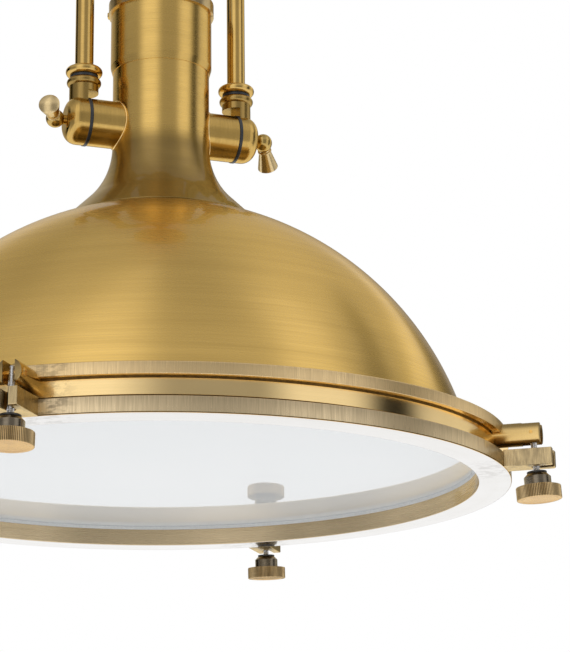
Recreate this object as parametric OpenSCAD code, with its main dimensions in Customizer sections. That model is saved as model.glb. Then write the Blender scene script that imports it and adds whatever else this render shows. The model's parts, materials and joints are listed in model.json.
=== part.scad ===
// Pendant lamp with a domed shade, a clamped glass ring and a tilting neck, hung from a ceiling cup.
// The origin is the middle of the ceiling face, +Z is up and X is the tilt axis.
// The forks, the nuts and the levers stand as they do on the lamp in use.

/* [Ceiling cup and stem] */
// Outer radius of the ceiling cup
canopy_r = 60; // [56:1:75]
// Height of the ceiling cup
canopy_h = 28; // [26:1:40]
// Wall of the ceiling cup
canopy_wall = 1.2; // [0.8:0.1:2]
// Radius of the cup's rounded lower edge
canopy_edge = 12; // [6:1:16]
// Width of the ceiling strap
strap_w = 20; // [16:1:24]
// Thickness of the ceiling strap
strap_t = 1.6; // [1.2:0.1:2.5]
// Depth of the strap's folded ends
strap_fold = 12; // [10:1:14]
// Distance from the middle to each ceiling slot
slot_x = 30; // [26:1:36]
// Length of a ceiling slot
slot_len = 14; // [10:1:18]
// Half width of a ceiling slot
slot_r = 2.25; // [1.8:0.05:2.6]
// Radius of the stem tube
stem_r = 7; // [6.5:0.1:8]
// Drop from the cup's underside to the axis of the crossbar
stem_drop = 210; // [120:5:400]
// Outer radius of the hollow threaded tubes
nipple_r = 5; // [4.5:0.1:5.5]
// Bore radius of the hollow threaded tubes
nipple_bore_r = 4; // [3.8:0.1:4.2]

/* [Yoke] */
// Distance from the lamp's axis to each rod
rod_x = 52.5; // [50:0.5:62]
// Radius of the rods and of the crossbar
rod_r = 6; // [5:0.1:6.6]
// Wall of the rods and of the crossbar
rod_wall = 1.2; // [0.8:0.1:2]
// Drop from the crossbar's axis to the tilt axis
rod_drop = 161; // [150:0.5:240]
// Bend radius of the corner fittings
elbow_bend = 14; // [12:0.5:16]
// Radius of the corner fittings
elbow_r = 8.6; // [8:0.1:9.2]
// Straight length of each fitting's socket
socket_len = 11; // [8:0.5:13]
// Radius of the ball where stem and crossbar meet
hub_r = 13; // [12:0.5:15]
// Radius of the cup that takes a rod
cup_r = 9.5; // [8.8:0.1:10]
// Radius of the bead around the cup's mouth
cup_bead_r = 11.2; // [10.2:0.1:11.6]
// Height of the bead around the cup's mouth
cup_bead_h = 5.6; // [4:0.1:6]
// Height of the cup's mouth above the tilt axis
cup_top = 29.3; // [28:0.1:34]
// Radius of the sealing ring
seal_ring_r = 9.2; // [8.6:0.05:9.6]
// Height of the sealing ring
seal_ring_h = 1.8; // [1.2:0.1:2.4]
// Radius of the locking ring
lock_ring_r = 12; // [11:0.1:12.6]
// Height of the locking ring
lock_ring_h = 6; // [5:0.1:7]

/* [Tilt joint] */
// Radius of the tilt joint's barrel and cap
barrel_r = 15.5; // [14.5:0.1:16.5]
// Distance from the rod's axis in to the gasket's inner face
gasket_in = 2.7; // [0.8:0.1:3.5]
// Thickness of the gasket
gasket_t = 2.2; // [1.6:0.1:2.6]
// How far the gasket stands proud of the barrel
gasket_proud = 0.4; // [0.2:0.1:0.6]
// Distance from the rod's axis out to the cap's end
cap_out = 12.5; // [11.5:0.5:14]
// Radius of the cap's rounded edge
cap_round = 8.5; // [6:0.5:9]
// Radius of the spigot that the cap turns on
spigot_r = 10; // [8:0.5:11]
// Length of the spigot inside the cap
spigot_len = 5.6; // [4.5:0.1:6.2]
// Height of the notch over the barrel
notch_h = 4; // [3:0.5:5]
// Running clearance on a radius
run_gap = 0.05; // [0.02:0.01:0.1]
// Clearance between parts that move apart
free_gap = 0.3; // [0.2:0.05:0.4]

/* [Levers] */
// Radius of the clamping screw
screw_r = 3; // [2.5:0.1:3.5]
// Depth of the clamping screw in the barrel
screw_reach = 13; // [8:0.5:14]
// Radius of the lever's ball
ball_r = 6; // [5:0.1:6.2]
// Distance from the cap's end to the ball's centre
ball_out = 6.4; // [6.2:0.1:9]
// Length of a lever from the ball's centre to its end
lever_len = 22.5; // [19:0.5:28]
// Radius of a lever's handle at its end
lever_end_r = 6.7; // [5.5:0.1:7]
// Radius of a lever's handle at the ball
lever_root_r = 3.9; // [3.2:0.1:4.4]
// Height of the thin collar at a handle's root
collar_h = 1; // [0.6:0.1:1.6]
// Outward lean of the levers
lever_lean = 25; // [15:1:30]
// Angle of the left lever about the tilt axis, up is 0
left_lever_turn = 84; // [0:2:180]
// Angle of the right lever about the tilt axis, up is 0
right_lever_turn = -127; // [-180:1:0]

/* [Neck] */
// Radius of the neck tube
neck_r = 31.7; // [29:0.1:33]
// Wall of the neck
neck_wall = 1.8; // [1.2:0.1:2.4]
// Radius of the flare's curve
flare_r = 55; // [48:1:62]
// Angle that the flare turns through
flare_turn = 46; // [40:1:52]
// Radius where the flare meets the dome
seat_r = 64.6; // [60:0.2:70]
// Height of the tilt axis above the top of the flare
pivot_up = 12; // [10:0.5:20]
// Height of the flare's edge on the dome
flare_edge = 1.1; // [0.6:0.1:2]
// Height of the sleeve's lower edge above the tilt axis
sleeve_up = 38.5; // [36:0.5:46]
// How far the sleeve stands proud of the neck
sleeve_proud = 1.6; // [1.2:0.1:2.4]
// Height of the sleeve's lower chamfer
sleeve_chamfer = 4.7; // [3:0.1:6]
// Length of the sleeve
sleeve_len = 50; // [40:1:60]
// Depth of the neck inside the sleeve
neck_lap = 20; // [12:1:30]
// Height of the cap's crown
crown_h = 10; // [6:0.5:14]
// Depth of the cap's skirt
skirt_h = 8; // [6:0.5:12]
// Wall of the cap
cap_wall = 1.6; // [1:0.1:2.4]

/* [Dome] */
// How far the dome's centre lies below its foot, on the dome's own sphere
dome_drop = 45.8; // [20:0.2:60]
// Wall of the dome
dome_wall = 1.5; // [1:0.1:2.5]
// Radius of the flat crown under the flare
crown_flat_r = 57; // [54:0.5:59]
// Radius of the hole in the dome's crown
crown_hole_r = 36; // [32:0.5:40]
// Thickness of the clamping plates at the crown
plate_t = 2.4; // [2:0.1:3]
// Radius of the circle of plate screws
plate_screw_pcr = 46; // [44:0.5:48]

/* [Rim] */
// Outer radius of the glass ring
rim_r = 220; // [200:1:240]
// Width of the glass ring from its edge in to the opening
ring_w = 20.5; // [18:0.1:24]
// Height of the glass ring's edge
ring_h = 9.4; // [8:0.1:11]
// Rise of the ring's inner wall above its edge
lip_rise = 2.1; // [1.5:0.1:3]
// Width of the ring's inner wall
lip_w = 5.5; // [4:0.1:7]
// How far the band is set back from the ring's edge
band_step = 6.8; // [5:0.1:8]
// Height of the band
band_h = 12.2; // [11:0.1:15]
// Wall of the band
band_wall = 3.8; // [3:0.1:5]
// How far the flange is set back from the ring's edge
flange_step = 1.3; // [0.5:0.1:2.5]
// Thickness of the flange
flange_h = 7.2; // [5.5:0.1:9]
// Width of the flange outside the dome's foot
flange_shelf = 23.5; // [20:0.5:28]
// Width of the flange inside the dome's foot
flange_inner = 5.2; // [4:0.1:8]
// Height of the flange's rim inside the dome
upstand_h = 3.2; // [2:0.1:5]
// Width of the flange's rim inside the dome
upstand_w = 2.6; // [1.5:0.1:3.5]
// Thickness of the glass
glass_t = 4; // [3:0.5:5]
// Thickness of the seal's lip under the glass
seal_lip = 2.5; // [1.5:0.1:3]
// Depth of the glass in the seal
glass_hold = 8; // [6:0.5:8.5]

/* [Clamps] */
// Angle of the first clamp from the tilt axis
clamp_turn = -36.3; // [-60:0.1:-20]
// Distance from the glass ring's edge out to the clamp's pin
pin_out = 16.8; // [15:0.1:19]
// Height of the clamp's pin above the rim's underside
pin_h = 20.3; // [19.8:0.1:21.5]
// Radius of the clevis bar
clevis_r = 7.1; // [6:0.1:7.5]
// Length of the clevis bar beyond the pin
clevis_nose = 5.2; // [4:0.1:6]
// Half width of the slot in the clevis bar
clevis_slot = 3.5; // [2.6:0.1:4]
// Depth of the clevis slot behind the pin
clevis_back = 6.5; // [5:0.1:8]
// Length of the fork beyond the pin
fork_nose = 12; // [10:0.1:13]
// Width of the fork
fork_w = 16; // [14:0.5:20]
// Height of the fork
fork_h = 10.2; // [9:0.1:11]
// Half width of the fork's slot
fork_slot = 2.9; // [2.6:0.1:3.5]
// Radius of the fork's lower outer edge
fork_round = 1.2; // [0.6:0.1:2]
// Radius of the pin's shank
pin_r = 1.1; // [0.9:0.05:1.2]
// Radius of the pin's head
pin_head_r = 2.4; // [2:0.1:3]
// Height of the pin's head
pin_head_h = 1.3; // [1:0.1:1.8]
// Radius of the swing bolt
bolt_r = 2; // [1.8:0.05:2.3]
// Length of the swing bolt above its pin
bolt_tip = 3.6; // [3:0.1:4.5]
// Outward lean of the swing bolt
bolt_lean = 3.5; // [2:0.5:4]
// Gap along the bolt between the fork's corner and the washer when the bolt swings
swing_gap = 0.2; // [0.15:0.05:0.5]
// Radius of the washer
washer_r = 6; // [5.5:0.1:7]
// Thickness of the washer
washer_t = 1; // [0.6:0.1:1.4]
// Radius of the nut's shank
shank_r = 8.1; // [7.5:0.1:9.5]
// Length of the nut's shank
shank_len = 8.2; // [5:0.1:10]
// Chamfer on the nut's shank
shank_chamfer = 2.4; // [1:0.1:2.6]
// Outer radius of the nut's knurled disc
disc_r = 13.5; // [12:0.1:15]
// Thickness of the nut's knurled disc
disc_h = 7.8; // [6:0.1:9]
// Number of ridges on the disc
ridges = 72; // [48:4:84]
// Depth of a ridge
ridge_d = 0.4; // [0.2:0.05:0.5]
// Depth of the nut's threaded hole
nut_hole = 12; // [11.5:0.1:12.5]
// Length of bolt inside the nut
bolt_grip = 8; // [6:0.1:8.5]

/* [Lamp holder] */
// Radius of the holder's body
holder_r = 20; // [18.5:0.5:22]
// Length of the holder's body
holder_len = 52; // [46:1:58]
// Distance from the tilt axis up to the holder's top
holder_up = 8; // [0:1:14]
// Inner radius of the holder's threaded shell
thread_r = 13.3; // [13.2:0.05:13.6]
// Wall of the threaded shell
thread_wall = 0.8; // [0.6:0.1:1.2]
// Length of the threaded shell
thread_len = 23; // [18:1:26]
// Radius of the cable's way in
gland_bore_r = 3.6; // [3:0.1:3.7]

/* [Hidden] */
$fn = 96;

// Cuts run this far past the faces they open
over = 1;

// Heights, from the ceiling down
canopy_z = -canopy_h;
crossbar_z = canopy_z - stem_drop;
pivot_z = crossbar_z - rod_drop;
flare_z = pivot_z - pivot_up;
flank_r = neck_r + flare_r * (1 - cos(flare_turn));
flank_z = flare_z - flare_r * sin(flare_turn);
seat_z = flank_z - (seat_r - flank_r) / tan(flare_turn) - flare_edge;
flange_r = rim_r - flange_step;
foot_r = flange_r - flange_shelf;
dome_r = norm([foot_r, dome_drop]);
dome_z = seat_z - sqrt(dome_r * dome_r - seat_r * seat_r);
flange_top_z = dome_z + dome_drop;
flange_z = flange_top_z - flange_h;
band_z = flange_z - band_h;
rim_z = band_z - ring_h;
band_r = rim_r - band_step;
opening_r = rim_r - ring_w;
lip_z = band_z + lip_rise;
glass_z = lip_z + seal_lip;
crown_z = dome_z + sqrt(dome_r * dome_r - crown_flat_r * crown_flat_r);

// Tilt joint, distances along X
gasket_x0 = rod_x - gasket_in;
gasket_x1 = gasket_x0 + gasket_t;
cap_x = rod_x + cap_out;
spigot_x = gasket_x1 + spigot_len;
screw_x = gasket_x0 - screw_reach;
ball_x = cap_x + ball_out;
seal_ring_z = pivot_z + cup_top;
lock_ring_z = seal_ring_z + seal_ring_h;
rod_z = pivot_z + barrel_r + notch_h + over;
sleeve_r = neck_r + sleeve_proud;
sleeve_z = pivot_z + sleeve_up;
sleeve_top = sleeve_z + sleeve_len;
cap_r = sleeve_r + cap_wall;
cap_sphere = (cap_r * cap_r + crown_h * crown_h) / (2 * crown_h);
cap_sphere_z = sleeve_top + crown_h - cap_sphere;

// Clamps, distances along each bolt from its pin
pin_x = rim_r + pin_out;
pin_z = rim_z + pin_h;
washer_d = norm([fork_nose, pin_h]) + swing_gap - fork_round * (sqrt(2) - 1);
shank_d = washer_d + washer_t;
disc_d = shank_d + shank_len;
bolt_end = shank_d + bolt_grip;

// Lamp holder
holder_top = pivot_z + holder_up;
holder_z = holder_top - holder_len;
shell_z = holder_z + 2;
gland_flat = 10;
gland_h = 6;
gland_nut_h = 9;
gland_z = cap_sphere_z + sqrt(pow(cap_sphere, 2) - pow(gland_flat, 2));
gland_tube_r = 7.2;
// Height of the cap's inner crown over the collar of the holder's tube
collar_r = nipple_r + 4;
under_crown = cap_sphere_z + sqrt(pow(cap_sphere - cap_wall, 2) - pow(collar_r, 2));
tube_socket = 6;
contact_room = 6;

// Small fittings
canopy_screw_r = 1.8;
canopy_screw_head = 3.4;
canopy_screw_len = 7;
canopy_screw_z = -strap_fold / 2 - strap_t / 2;
nipple_drop = 14;
nipple_rise = 8;
nipple_nut_h = 4;
bar_lap = 3;
fitting_lap = 2;
fitting_bead_r = elbow_r + 1.4;
fitting_bead_h = 4;
cap_screw_r = 1.5;
cap_screw_turn = 30;
plate_screw_r = 2;
clevis_chamfer = 0.5;
pin_sink = 0.45;
// Outer radius of the flange's rim, just inside the dome's wall at its top
upstand_r = sqrt(pow(dome_r - dome_wall, 2) - pow(dome_drop + upstand_h, 2)) - 0.1;

brass_tone = [0.74, 0.59, 0.36];
bright_tone = [0.83, 0.68, 0.42];
steel_tone = [0.72, 0.73, 0.75];
dark_tone = [0.2, 0.2, 0.21];
white_tone = [0.94, 0.94, 0.93];
glass_tone = [0.86, 0.9, 0.93, 0.6];

// A tube around Z between two heights
module tube(outer, inner, low, high) {
    translate([0, 0, low]) difference() {
        cylinder(r = outer, h = high - low);
        translate([0, 0, -over]) cylinder(r = inner, h = high - low + 2 * over);
    }
}

// A ring around Z with a fully rounded edge, standing on z = 0
module round_ring(outer, inner, height) {
    rotate_extrude() intersection() {
        union() {
            translate([outer - height / 2, height / 2]) circle(r = height / 2);
            square([outer - height / 2, height]);
        }
        translate([inner, 0]) square([outer - inner, height]);
    }
}

// Children once at each end of the tilt axis, mirrored on the left
module on_side(side) {
    mirror([side < 0 ? 1 : 0, 0, 0]) children();
}

// A shape turned from the Z axis onto the tilt axis, out to the right
module along_x() {
    translate([0, 0, pivot_z]) rotate([0, 90, 0]) children();
}

module ceiling_strap() {
    reach = canopy_r - canopy_wall - free_gap - strap_w * strap_w / (8 * canopy_r) - 0.3;
    color(steel_tone) difference() {
        union() {
            translate([-reach, -strap_w / 2, -strap_t]) cube([2 * reach, strap_w, strap_t]);
            for (s = [-1, 1]) {
                translate([s * (reach - strap_t / 2) - strap_t / 2, -strap_w / 2, -strap_fold])
                    cube([strap_t, strap_w, strap_fold]);
            }
        }
        for (s = [-1, 1]) {
            for (e = [-1, 1]) {
                translate([s * slot_x + e * (slot_len / 2 - slot_r), 0, -strap_t - over])
                    cylinder(r = slot_r, h = strap_t + 2 * over);
            }
            translate([s * slot_x - slot_len / 2 + slot_r, -slot_r, -strap_t - over])
                cube([slot_len - 2 * slot_r, 2 * slot_r, strap_t + 2 * over]);
        }
        translate([0, 0, canopy_screw_z]) rotate([0, 90, 0])
            cylinder(r = canopy_screw_r, h = 2 * canopy_r, center = true);
    }
}

// The cup's outline from its axis out, with a rounded lower corner
module canopy_outline(radius, height, edge) {
    translate([radius - edge, edge]) circle(r = edge);
    square([radius - edge, height]);
    translate([0, edge]) square([radius, height - edge]);
}

module canopy() {
    color(brass_tone) difference() {
        translate([0, 0, canopy_z]) rotate_extrude() difference() {
            canopy_outline(canopy_r, canopy_h, canopy_edge);
            translate([0, canopy_wall])
                canopy_outline(canopy_r - canopy_wall, canopy_h, canopy_edge - canopy_wall);
        }
        translate([0, 0, canopy_z - over]) cylinder(r = nipple_r, h = canopy_wall + 2 * over);
        translate([0, 0, canopy_screw_z]) rotate([0, 90, 0])
            cylinder(r = canopy_screw_r, h = 3 * canopy_r, center = true);
    }
}

module canopy_screws() {
    color(bright_tone) for (s = [0, 1]) {
        rotate([0, 0, 180 * s]) translate([canopy_r, 0, canopy_screw_z])
            rotate([0, 90, 0]) difference() {
                union() {
                    translate([0, 0, -canopy_screw_len]) cylinder(r = canopy_screw_r, h = canopy_screw_len);
                    intersection() {
                        cylinder(r = canopy_screw_head, h = 2.4);
                        translate([0, 0, -2.6]) sphere(r = 5);
                    }
                }
                translate([-0.4, -canopy_screw_head, 1.3]) cube([0.8, 2 * canopy_screw_head, 2]);
            }
    }
}

module terminal_block() {
    pitch = 10;
    deep = 15;
    high = 14;
    color(white_tone) translate([0, -strap_w / 2 - deep - 1, -strap_t - high]) difference() {
        union() {
            translate([-1.5 * pitch, 0, 0]) cube([3 * pitch, deep, high * 0.62]);
            for (i = [-1:1]) {
                translate([i * pitch, deep / 2, 0]) cylinder(r = pitch * 0.42, h = high * 0.8);
            }
            translate([-1.5 * pitch, deep - 3, 0]) cube([3 * pitch, strap_w * 0.4, 3]);
            translate([-1.5 * pitch, deep + 1.5, 0]) cube([3 * pitch, strap_w * 0.4, high]);
        }
        for (i = [-1:1]) {
            translate([i * pitch, deep / 2, high * 0.4]) cylinder(r = 2, h = high);
            translate([i * pitch, -over, high * 0.3]) rotate([-90, 0, 0])
                cylinder(r = 1.6, h = deep - 2);
        }
    }
}

module canopy_nipple() {
    color(steel_tone) tube(nipple_r, nipple_bore_r, canopy_z - nipple_drop, canopy_z + nipple_rise);
}

module nipple_nut() {
    color(steel_tone) translate([0, 0, canopy_z + canopy_wall]) difference() {
        cylinder(r = nipple_r + 3.4, h = nipple_nut_h, $fn = 6);
        translate([0, 0, -over]) cylinder(r = nipple_r, h = nipple_nut_h + 2 * over);
    }
}

module stem_rings() {
    color(brass_tone) {
        translate([0, 0, canopy_z - lock_ring_h])
            round_ring(lock_ring_r + 2, nipple_r, lock_ring_h);
        translate([0, 0, crossbar_z + hub_r + socket_len - fitting_bead_h])
            round_ring(lock_ring_r + 1, stem_r, lock_ring_h);
    }
}

module stem_tube() {
    color(brass_tone) tube(stem_r, nipple_r, crossbar_z + hub_r, canopy_z - lock_ring_h);
}

module yoke_hub() {
    color(brass_tone) difference() {
        union() {
            translate([0, 0, crossbar_z]) sphere(r = hub_r);
            translate([0, 0, crossbar_z]) cylinder(r = stem_r + 2.4, h = hub_r + socket_len - fitting_bead_h);
            translate([0, 0, crossbar_z]) rotate([0, 90, 0])
                cylinder(r = elbow_r, h = 2 * (hub_r + fitting_bead_h), center = true);
            for (s = [-1, 1]) {
                translate([s * (hub_r + fitting_bead_h) - fitting_bead_h / 2, 0, crossbar_z])
                    rotate([0, 90, 0]) round_ring(fitting_bead_r, rod_r, fitting_bead_h);
            }
        }
        translate([0, 0, crossbar_z + hub_r]) cylinder(r = stem_r, h = socket_len + over);
        for (s = [0, 1]) {
            translate([0, 0, crossbar_z]) rotate([0, 90, 180 * s])
                translate([0, 0, hub_r - bar_lap])
                    cylinder(r = rod_r, h = bar_lap + 2 * fitting_bead_h + over);
        }
    }
}

module crossbar() {
    color(brass_tone) for (s = [0, 1]) {
        rotate([0, 0, 180 * s]) translate([0, 0, crossbar_z]) rotate([0, 90, 0])
            tube(rod_r, rod_r - rod_wall, hub_r - bar_lap, rod_x - elbow_bend - fitting_lap);
    }
}

// The corner fitting on the right, between rod and crossbar
module elbow() {
    bend_x = rod_x - elbow_bend;
    bend_z = crossbar_z - elbow_bend;
    mouth_z = bend_z - socket_len;
    mouth_x = bend_x - socket_len + bar_lap;
    difference() {
        union() {
            translate([bend_x, 0, bend_z]) rotate([90, 0, 0]) rotate_extrude(angle = 90)
                translate([elbow_bend, 0]) circle(r = elbow_r);
            translate([rod_x, 0, mouth_z]) cylinder(r = elbow_r, h = socket_len);
            translate([rod_x, 0, mouth_z - over]) round_ring(fitting_bead_r, rod_r, fitting_bead_h);
            translate([mouth_x, 0, crossbar_z]) rotate([0, 90, 0])
                cylinder(r = elbow_r, h = bend_x - mouth_x);
            translate([mouth_x - over, 0, crossbar_z]) rotate([0, 90, 0])
                round_ring(fitting_bead_r, rod_r, fitting_bead_h);
        }
        translate([rod_x, 0, mouth_z - 2 * over])
            cylinder(r = rod_r, h = socket_len - fitting_lap + 2 * over);
        translate([mouth_x - 2 * over, 0, crossbar_z]) rotate([0, 90, 0])
            cylinder(r = rod_r, h = bend_x - fitting_lap - mouth_x + 2 * over);
    }
}

module left_elbow() {
    color(brass_tone) on_side(-1) elbow();
}

module right_elbow() {
    color(brass_tone) on_side(1) elbow();
}

module rod() {
    translate([rod_x, 0, 0])
        tube(rod_r, rod_r - rod_wall, rod_z, crossbar_z - elbow_bend - fitting_lap);
}

module left_rod() {
    color(brass_tone) on_side(-1) rod();
}

module right_rod() {
    color(brass_tone) on_side(1) rod();
}

module lock_ring() {
    translate([rod_x, 0, lock_ring_z]) round_ring(lock_ring_r, rod_r, lock_ring_h);
}

module left_lock_ring() {
    color(brass_tone) on_side(-1) lock_ring();
}

module right_lock_ring() {
    color(brass_tone) on_side(1) lock_ring();
}

module rod_seals() {
    color(dark_tone) for (s = [-1, 1]) {
        on_side(s) translate([rod_x, 0, 0])
            tube(seal_ring_r, rod_r, seal_ring_z, seal_ring_z + seal_ring_h);
    }
}

// The cap that turns on the barrel, with the cup that takes the rod, on the right
module swivel_cap() {
    cup_h = cup_top - cup_bead_h;
    difference() {
        union() {
            along_x() rotate_extrude() intersection() {
                union() {
                    translate([barrel_r - cap_round, cap_x - cap_round]) circle(r = cap_round);
                    translate([0, gasket_x1]) square([barrel_r, cap_x - cap_round - gasket_x1]);
                    translate([0, gasket_x1]) square([barrel_r - cap_round, cap_x - gasket_x1]);
                }
                translate([0, gasket_x1]) square([barrel_r, cap_x - gasket_x1]);
            }
            translate([rod_x, 0, pivot_z]) cylinder(r = cup_r, h = cup_h + cup_bead_h / 2);
            translate([rod_x, 0, pivot_z + cup_h]) round_ring(cup_bead_r, rod_r, cup_bead_h);
        }
        translate([rod_x, 0, rod_z]) cylinder(r = rod_r, h = cup_top + over);
        translate([0, -2 * cup_r, pivot_z - over])
            cube([gasket_x1, 4 * cup_r, barrel_r + notch_h + over]);
        along_x() cylinder(r = spigot_r + run_gap, h = spigot_x + free_gap);
        along_x() cylinder(r = screw_r + run_gap, h = cap_x + over);
    }
}

module left_swivel_cap() {
    color(brass_tone) on_side(-1) swivel_cap();
}

module right_swivel_cap() {
    color(brass_tone) on_side(1) swivel_cap();
}

module tilt_gaskets() {
    color(dark_tone) for (s = [-1, 1]) {
        on_side(s) along_x()
            tube(barrel_r + gasket_proud, spigot_r + free_gap, gasket_x0 + run_gap, gasket_x1);
    }
}

// The barrel brazed to the neck on the right, with the spigot for the cap
module barrel() {
    difference() {
        along_x() union() {
            cylinder(r = barrel_r, h = gasket_x0);
            cylinder(r = spigot_r, h = spigot_x);
        }
        neck_core();
        along_x() translate([0, 0, screw_x - free_gap])
            cylinder(r = screw_r + run_gap, h = spigot_x);
    }
}

module left_barrel() {
    color(brass_tone) on_side(-1) barrel();
}

module right_barrel() {
    color(brass_tone) on_side(1) barrel();
}

// The neck's outline, set in by a wall, from its foot on the dome to its top inside the sleeve
module neck_outline(inset) {
    foot = seat_r - inset / cos(flare_turn);
    difference() {
        polygon([[0, seat_z], [foot, seat_z], [foot, seat_z + flare_edge],
            [flank_r - inset * cos(flare_turn),
            flank_z - inset * sin(flare_turn)], [flank_r + inset, flare_z],
            [neck_r - inset, flare_z], [neck_r - inset, sleeve_z + neck_lap],
            [0, sleeve_z + neck_lap]]);
        translate([neck_r + flare_r, flare_z]) circle(r = flare_r + inset, $fn = 240);
    }
}

module neck_core() {
    rotate_extrude() neck_outline(0);
}

module neck() {
    color(brass_tone) difference() {
        neck_core();
        rotate_extrude() neck_outline(neck_wall);
        translate([0, 0, sleeve_z]) cylinder(r = neck_r - neck_wall, h = neck_lap + over);
        dome_solid();
    }
}

module neck_sleeve() {
    color(brass_tone) rotate_extrude() polygon([
        [neck_r, sleeve_z + 0.2], [neck_r + 0.25, sleeve_z], [sleeve_r, sleeve_z + sleeve_chamfer],
        [sleeve_r, sleeve_top], [neck_r, sleeve_top]]);
}

// The crowned cap's outline from the foot of its skirt up, set in by a wall
module cap_outline(inset) {
    intersection() {
        translate([0, cap_sphere_z]) circle(r = cap_sphere - inset, $fn = 240);
        translate([0, sleeve_top - skirt_h]) square([cap_r, skirt_h + crown_h]);
    }
}

module neck_cap() {
    color(brass_tone) difference() {
        rotate_extrude() cap_outline(0);
        rotate_extrude() intersection() {
            cap_outline(cap_wall);
            translate([0, sleeve_top]) square([neck_r - 1, crown_h]);
        }
        translate([0, 0, sleeve_top - skirt_h - over]) cylinder(r = sleeve_r, h = skirt_h + over);
        translate([0, 0, sleeve_top]) cylinder(r = nipple_r, h = crown_h + over);
        translate([0, 0, gland_z]) cylinder(r = gland_flat + over, h = crown_h);
        cap_screw_holes();
    }
}

module cap_screw_holes() {
    for (i = [0:2]) {
        rotate([0, 90, 120 * i + cap_screw_turn])
            translate([-sleeve_top + skirt_h / 2, 0, sleeve_r - 1]) cylinder(r = cap_screw_r, h = 6);
    }
}

module cap_screws() {
    color(bright_tone) for (i = [0:2]) {
        rotate([0, 0, 120 * i + cap_screw_turn])
            translate([0, 0, sleeve_top - skirt_h / 2]) rotate([0, 90, 0]) {
                translate([0, 0, sleeve_r]) cylinder(r = cap_screw_r, h = cap_wall);
                translate([0, 0, cap_r]) difference() {
                    cylinder(r1 = 2.8, r2 = 2.2, h = 1.6);
                    translate([-0.3, -3, 0.8]) cube([0.6, 6, 1]);
                }
            }
    }
}

module cable_gland() {
    color(bright_tone) difference() {
        union() {
            translate([0, 0, gland_z]) cylinder(r = gland_flat, h = gland_h * 0.6, $fn = 6);
            translate([0, 0, gland_z]) cylinder(r = gland_tube_r, h = gland_h + 3);
        }
        translate([0, 0, gland_z - over]) cylinder(r = nipple_r, h = gland_h + over);
        translate([0, 0, gland_z]) cylinder(r = nipple_bore_r, h = gland_h + 3 + over);
    }
}

module gland_nut() {
    low = gland_z + gland_h * 0.6;
    color(bright_tone) difference() {
        translate([0, 0, low]) rotate_extrude() difference() {
            union() {
                square([gland_flat - 3, gland_nut_h]);
                square([gland_flat, gland_nut_h - 3]);
                translate([gland_flat - 3, gland_nut_h - 3]) circle(r = 3);
            }
            translate([-gland_flat, 0]) square([gland_flat, gland_nut_h]);
        }
        translate([0, 0, low - over]) cylinder(r = gland_tube_r, h = gland_z + gland_h + 3 - low + over);
        translate([0, 0, low]) cylinder(r = gland_bore_r, h = gland_nut_h + over);
    }
}

module plate_screw_places() {
    for (i = [0:2]) {
        rotate([0, 0, 120 * i + 90]) translate([plate_screw_pcr, 0, 0]) children();
    }
}

// The plate inside the flare that the dome's crown is pulled up against
module neck_plate() {
    slope = tan(flare_turn);
    edge = seat_r - neck_wall / cos(flare_turn) - (crown_z - seat_z - flare_edge) * slope - run_gap;
    color(steel_tone) difference() {
        rotate_extrude() polygon([[crown_hole_r, crown_z], [edge, crown_z],
            [edge - plate_t * slope, crown_z + plate_t], [crown_hole_r, crown_z + plate_t]]);
        plate_screw_places() translate([0, 0, crown_z - over])
            cylinder(r = plate_screw_r, h = plate_t + 2 * over);
    }
}

// The dome's outer sphere, from its foot up
module dome_solid() {
    rotate_extrude() intersection() {
        translate([0, dome_z]) circle(r = dome_r, $fn = 360);
        translate([0, flange_top_z]) square([dome_r, dome_r]);
    }
}

module dome() {
    color(brass_tone) difference() {
        rotate_extrude() difference() {
            intersection() {
                translate([0, dome_z]) circle(r = dome_r, $fn = 360);
                translate([0, flange_top_z]) square([dome_r, crown_z - flange_top_z]);
            }
            intersection() {
                translate([0, dome_z]) circle(r = dome_r - dome_wall, $fn = 360);
                translate([0, flange_top_z - over])
                    square([dome_r, crown_z - dome_wall - flange_top_z + over]);
            }
            translate([0, crown_z - 2 * dome_wall]) square([crown_hole_r, 3 * dome_wall]);
        }
        plate_screw_places() translate([0, 0, crown_z - dome_wall - over])
            cylinder(r = plate_screw_r, h = dome_wall + 2 * over);
    }
}

module dome_plate() {
    color(steel_tone) difference() {
        tube(crown_flat_r - 4, crown_hole_r, crown_z - dome_wall - plate_t, crown_z - dome_wall);
        plate_screw_places() translate([0, 0, crown_z - dome_wall - plate_t - over])
            cylinder(r = plate_screw_r, h = plate_t + 2 * over);
    }
}

module plate_screws() {
    low = crown_z - dome_wall - plate_t;
    color(steel_tone) plate_screw_places() {
        translate([0, 0, low - 2.4]) difference() {
            cylinder(r1 = 3, r2 = 3.8, h = 2.4);
            translate([-0.4, -4, -over]) cube([0.8, 8, 1 + over]);
        }
        translate([0, 0, low]) cylinder(r = plate_screw_r, h = 2 * plate_t + dome_wall + 2);
    }
}

module holder_tube() {
    color(steel_tone) {
        tube(nipple_r, nipple_bore_r, holder_top - tube_socket, gland_z + gland_h);
        tube(collar_r, nipple_r, under_crown - 3, under_crown);
    }
}

module holder_body() {
    color(white_tone) difference() {
        union() {
            translate([0, 0, holder_z]) cylinder(r = holder_r, h = holder_len * 0.6);
            translate([0, 0, holder_z + holder_len * 0.6])
                cylinder(r1 = holder_r, r2 = holder_r - 3, h = holder_len * 0.12);
            translate([0, 0, holder_z + holder_len * 0.6])
                cylinder(r = holder_r - 3, h = holder_len * 0.4);
        }
        translate([0, 0, holder_z - over])
            cylinder(r = thread_r + thread_wall, h = thread_len + 2 + 2 * over);
        translate([0, 0, shell_z + thread_len]) cylinder(r = thread_r - 2, h = contact_room);
        translate([0, 0, holder_top - tube_socket]) cylinder(r = nipple_r, h = tube_socket + over);
        translate([0, 0, shell_z + thread_len]) cylinder(r = 2, h = holder_len);
    }
}

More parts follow.
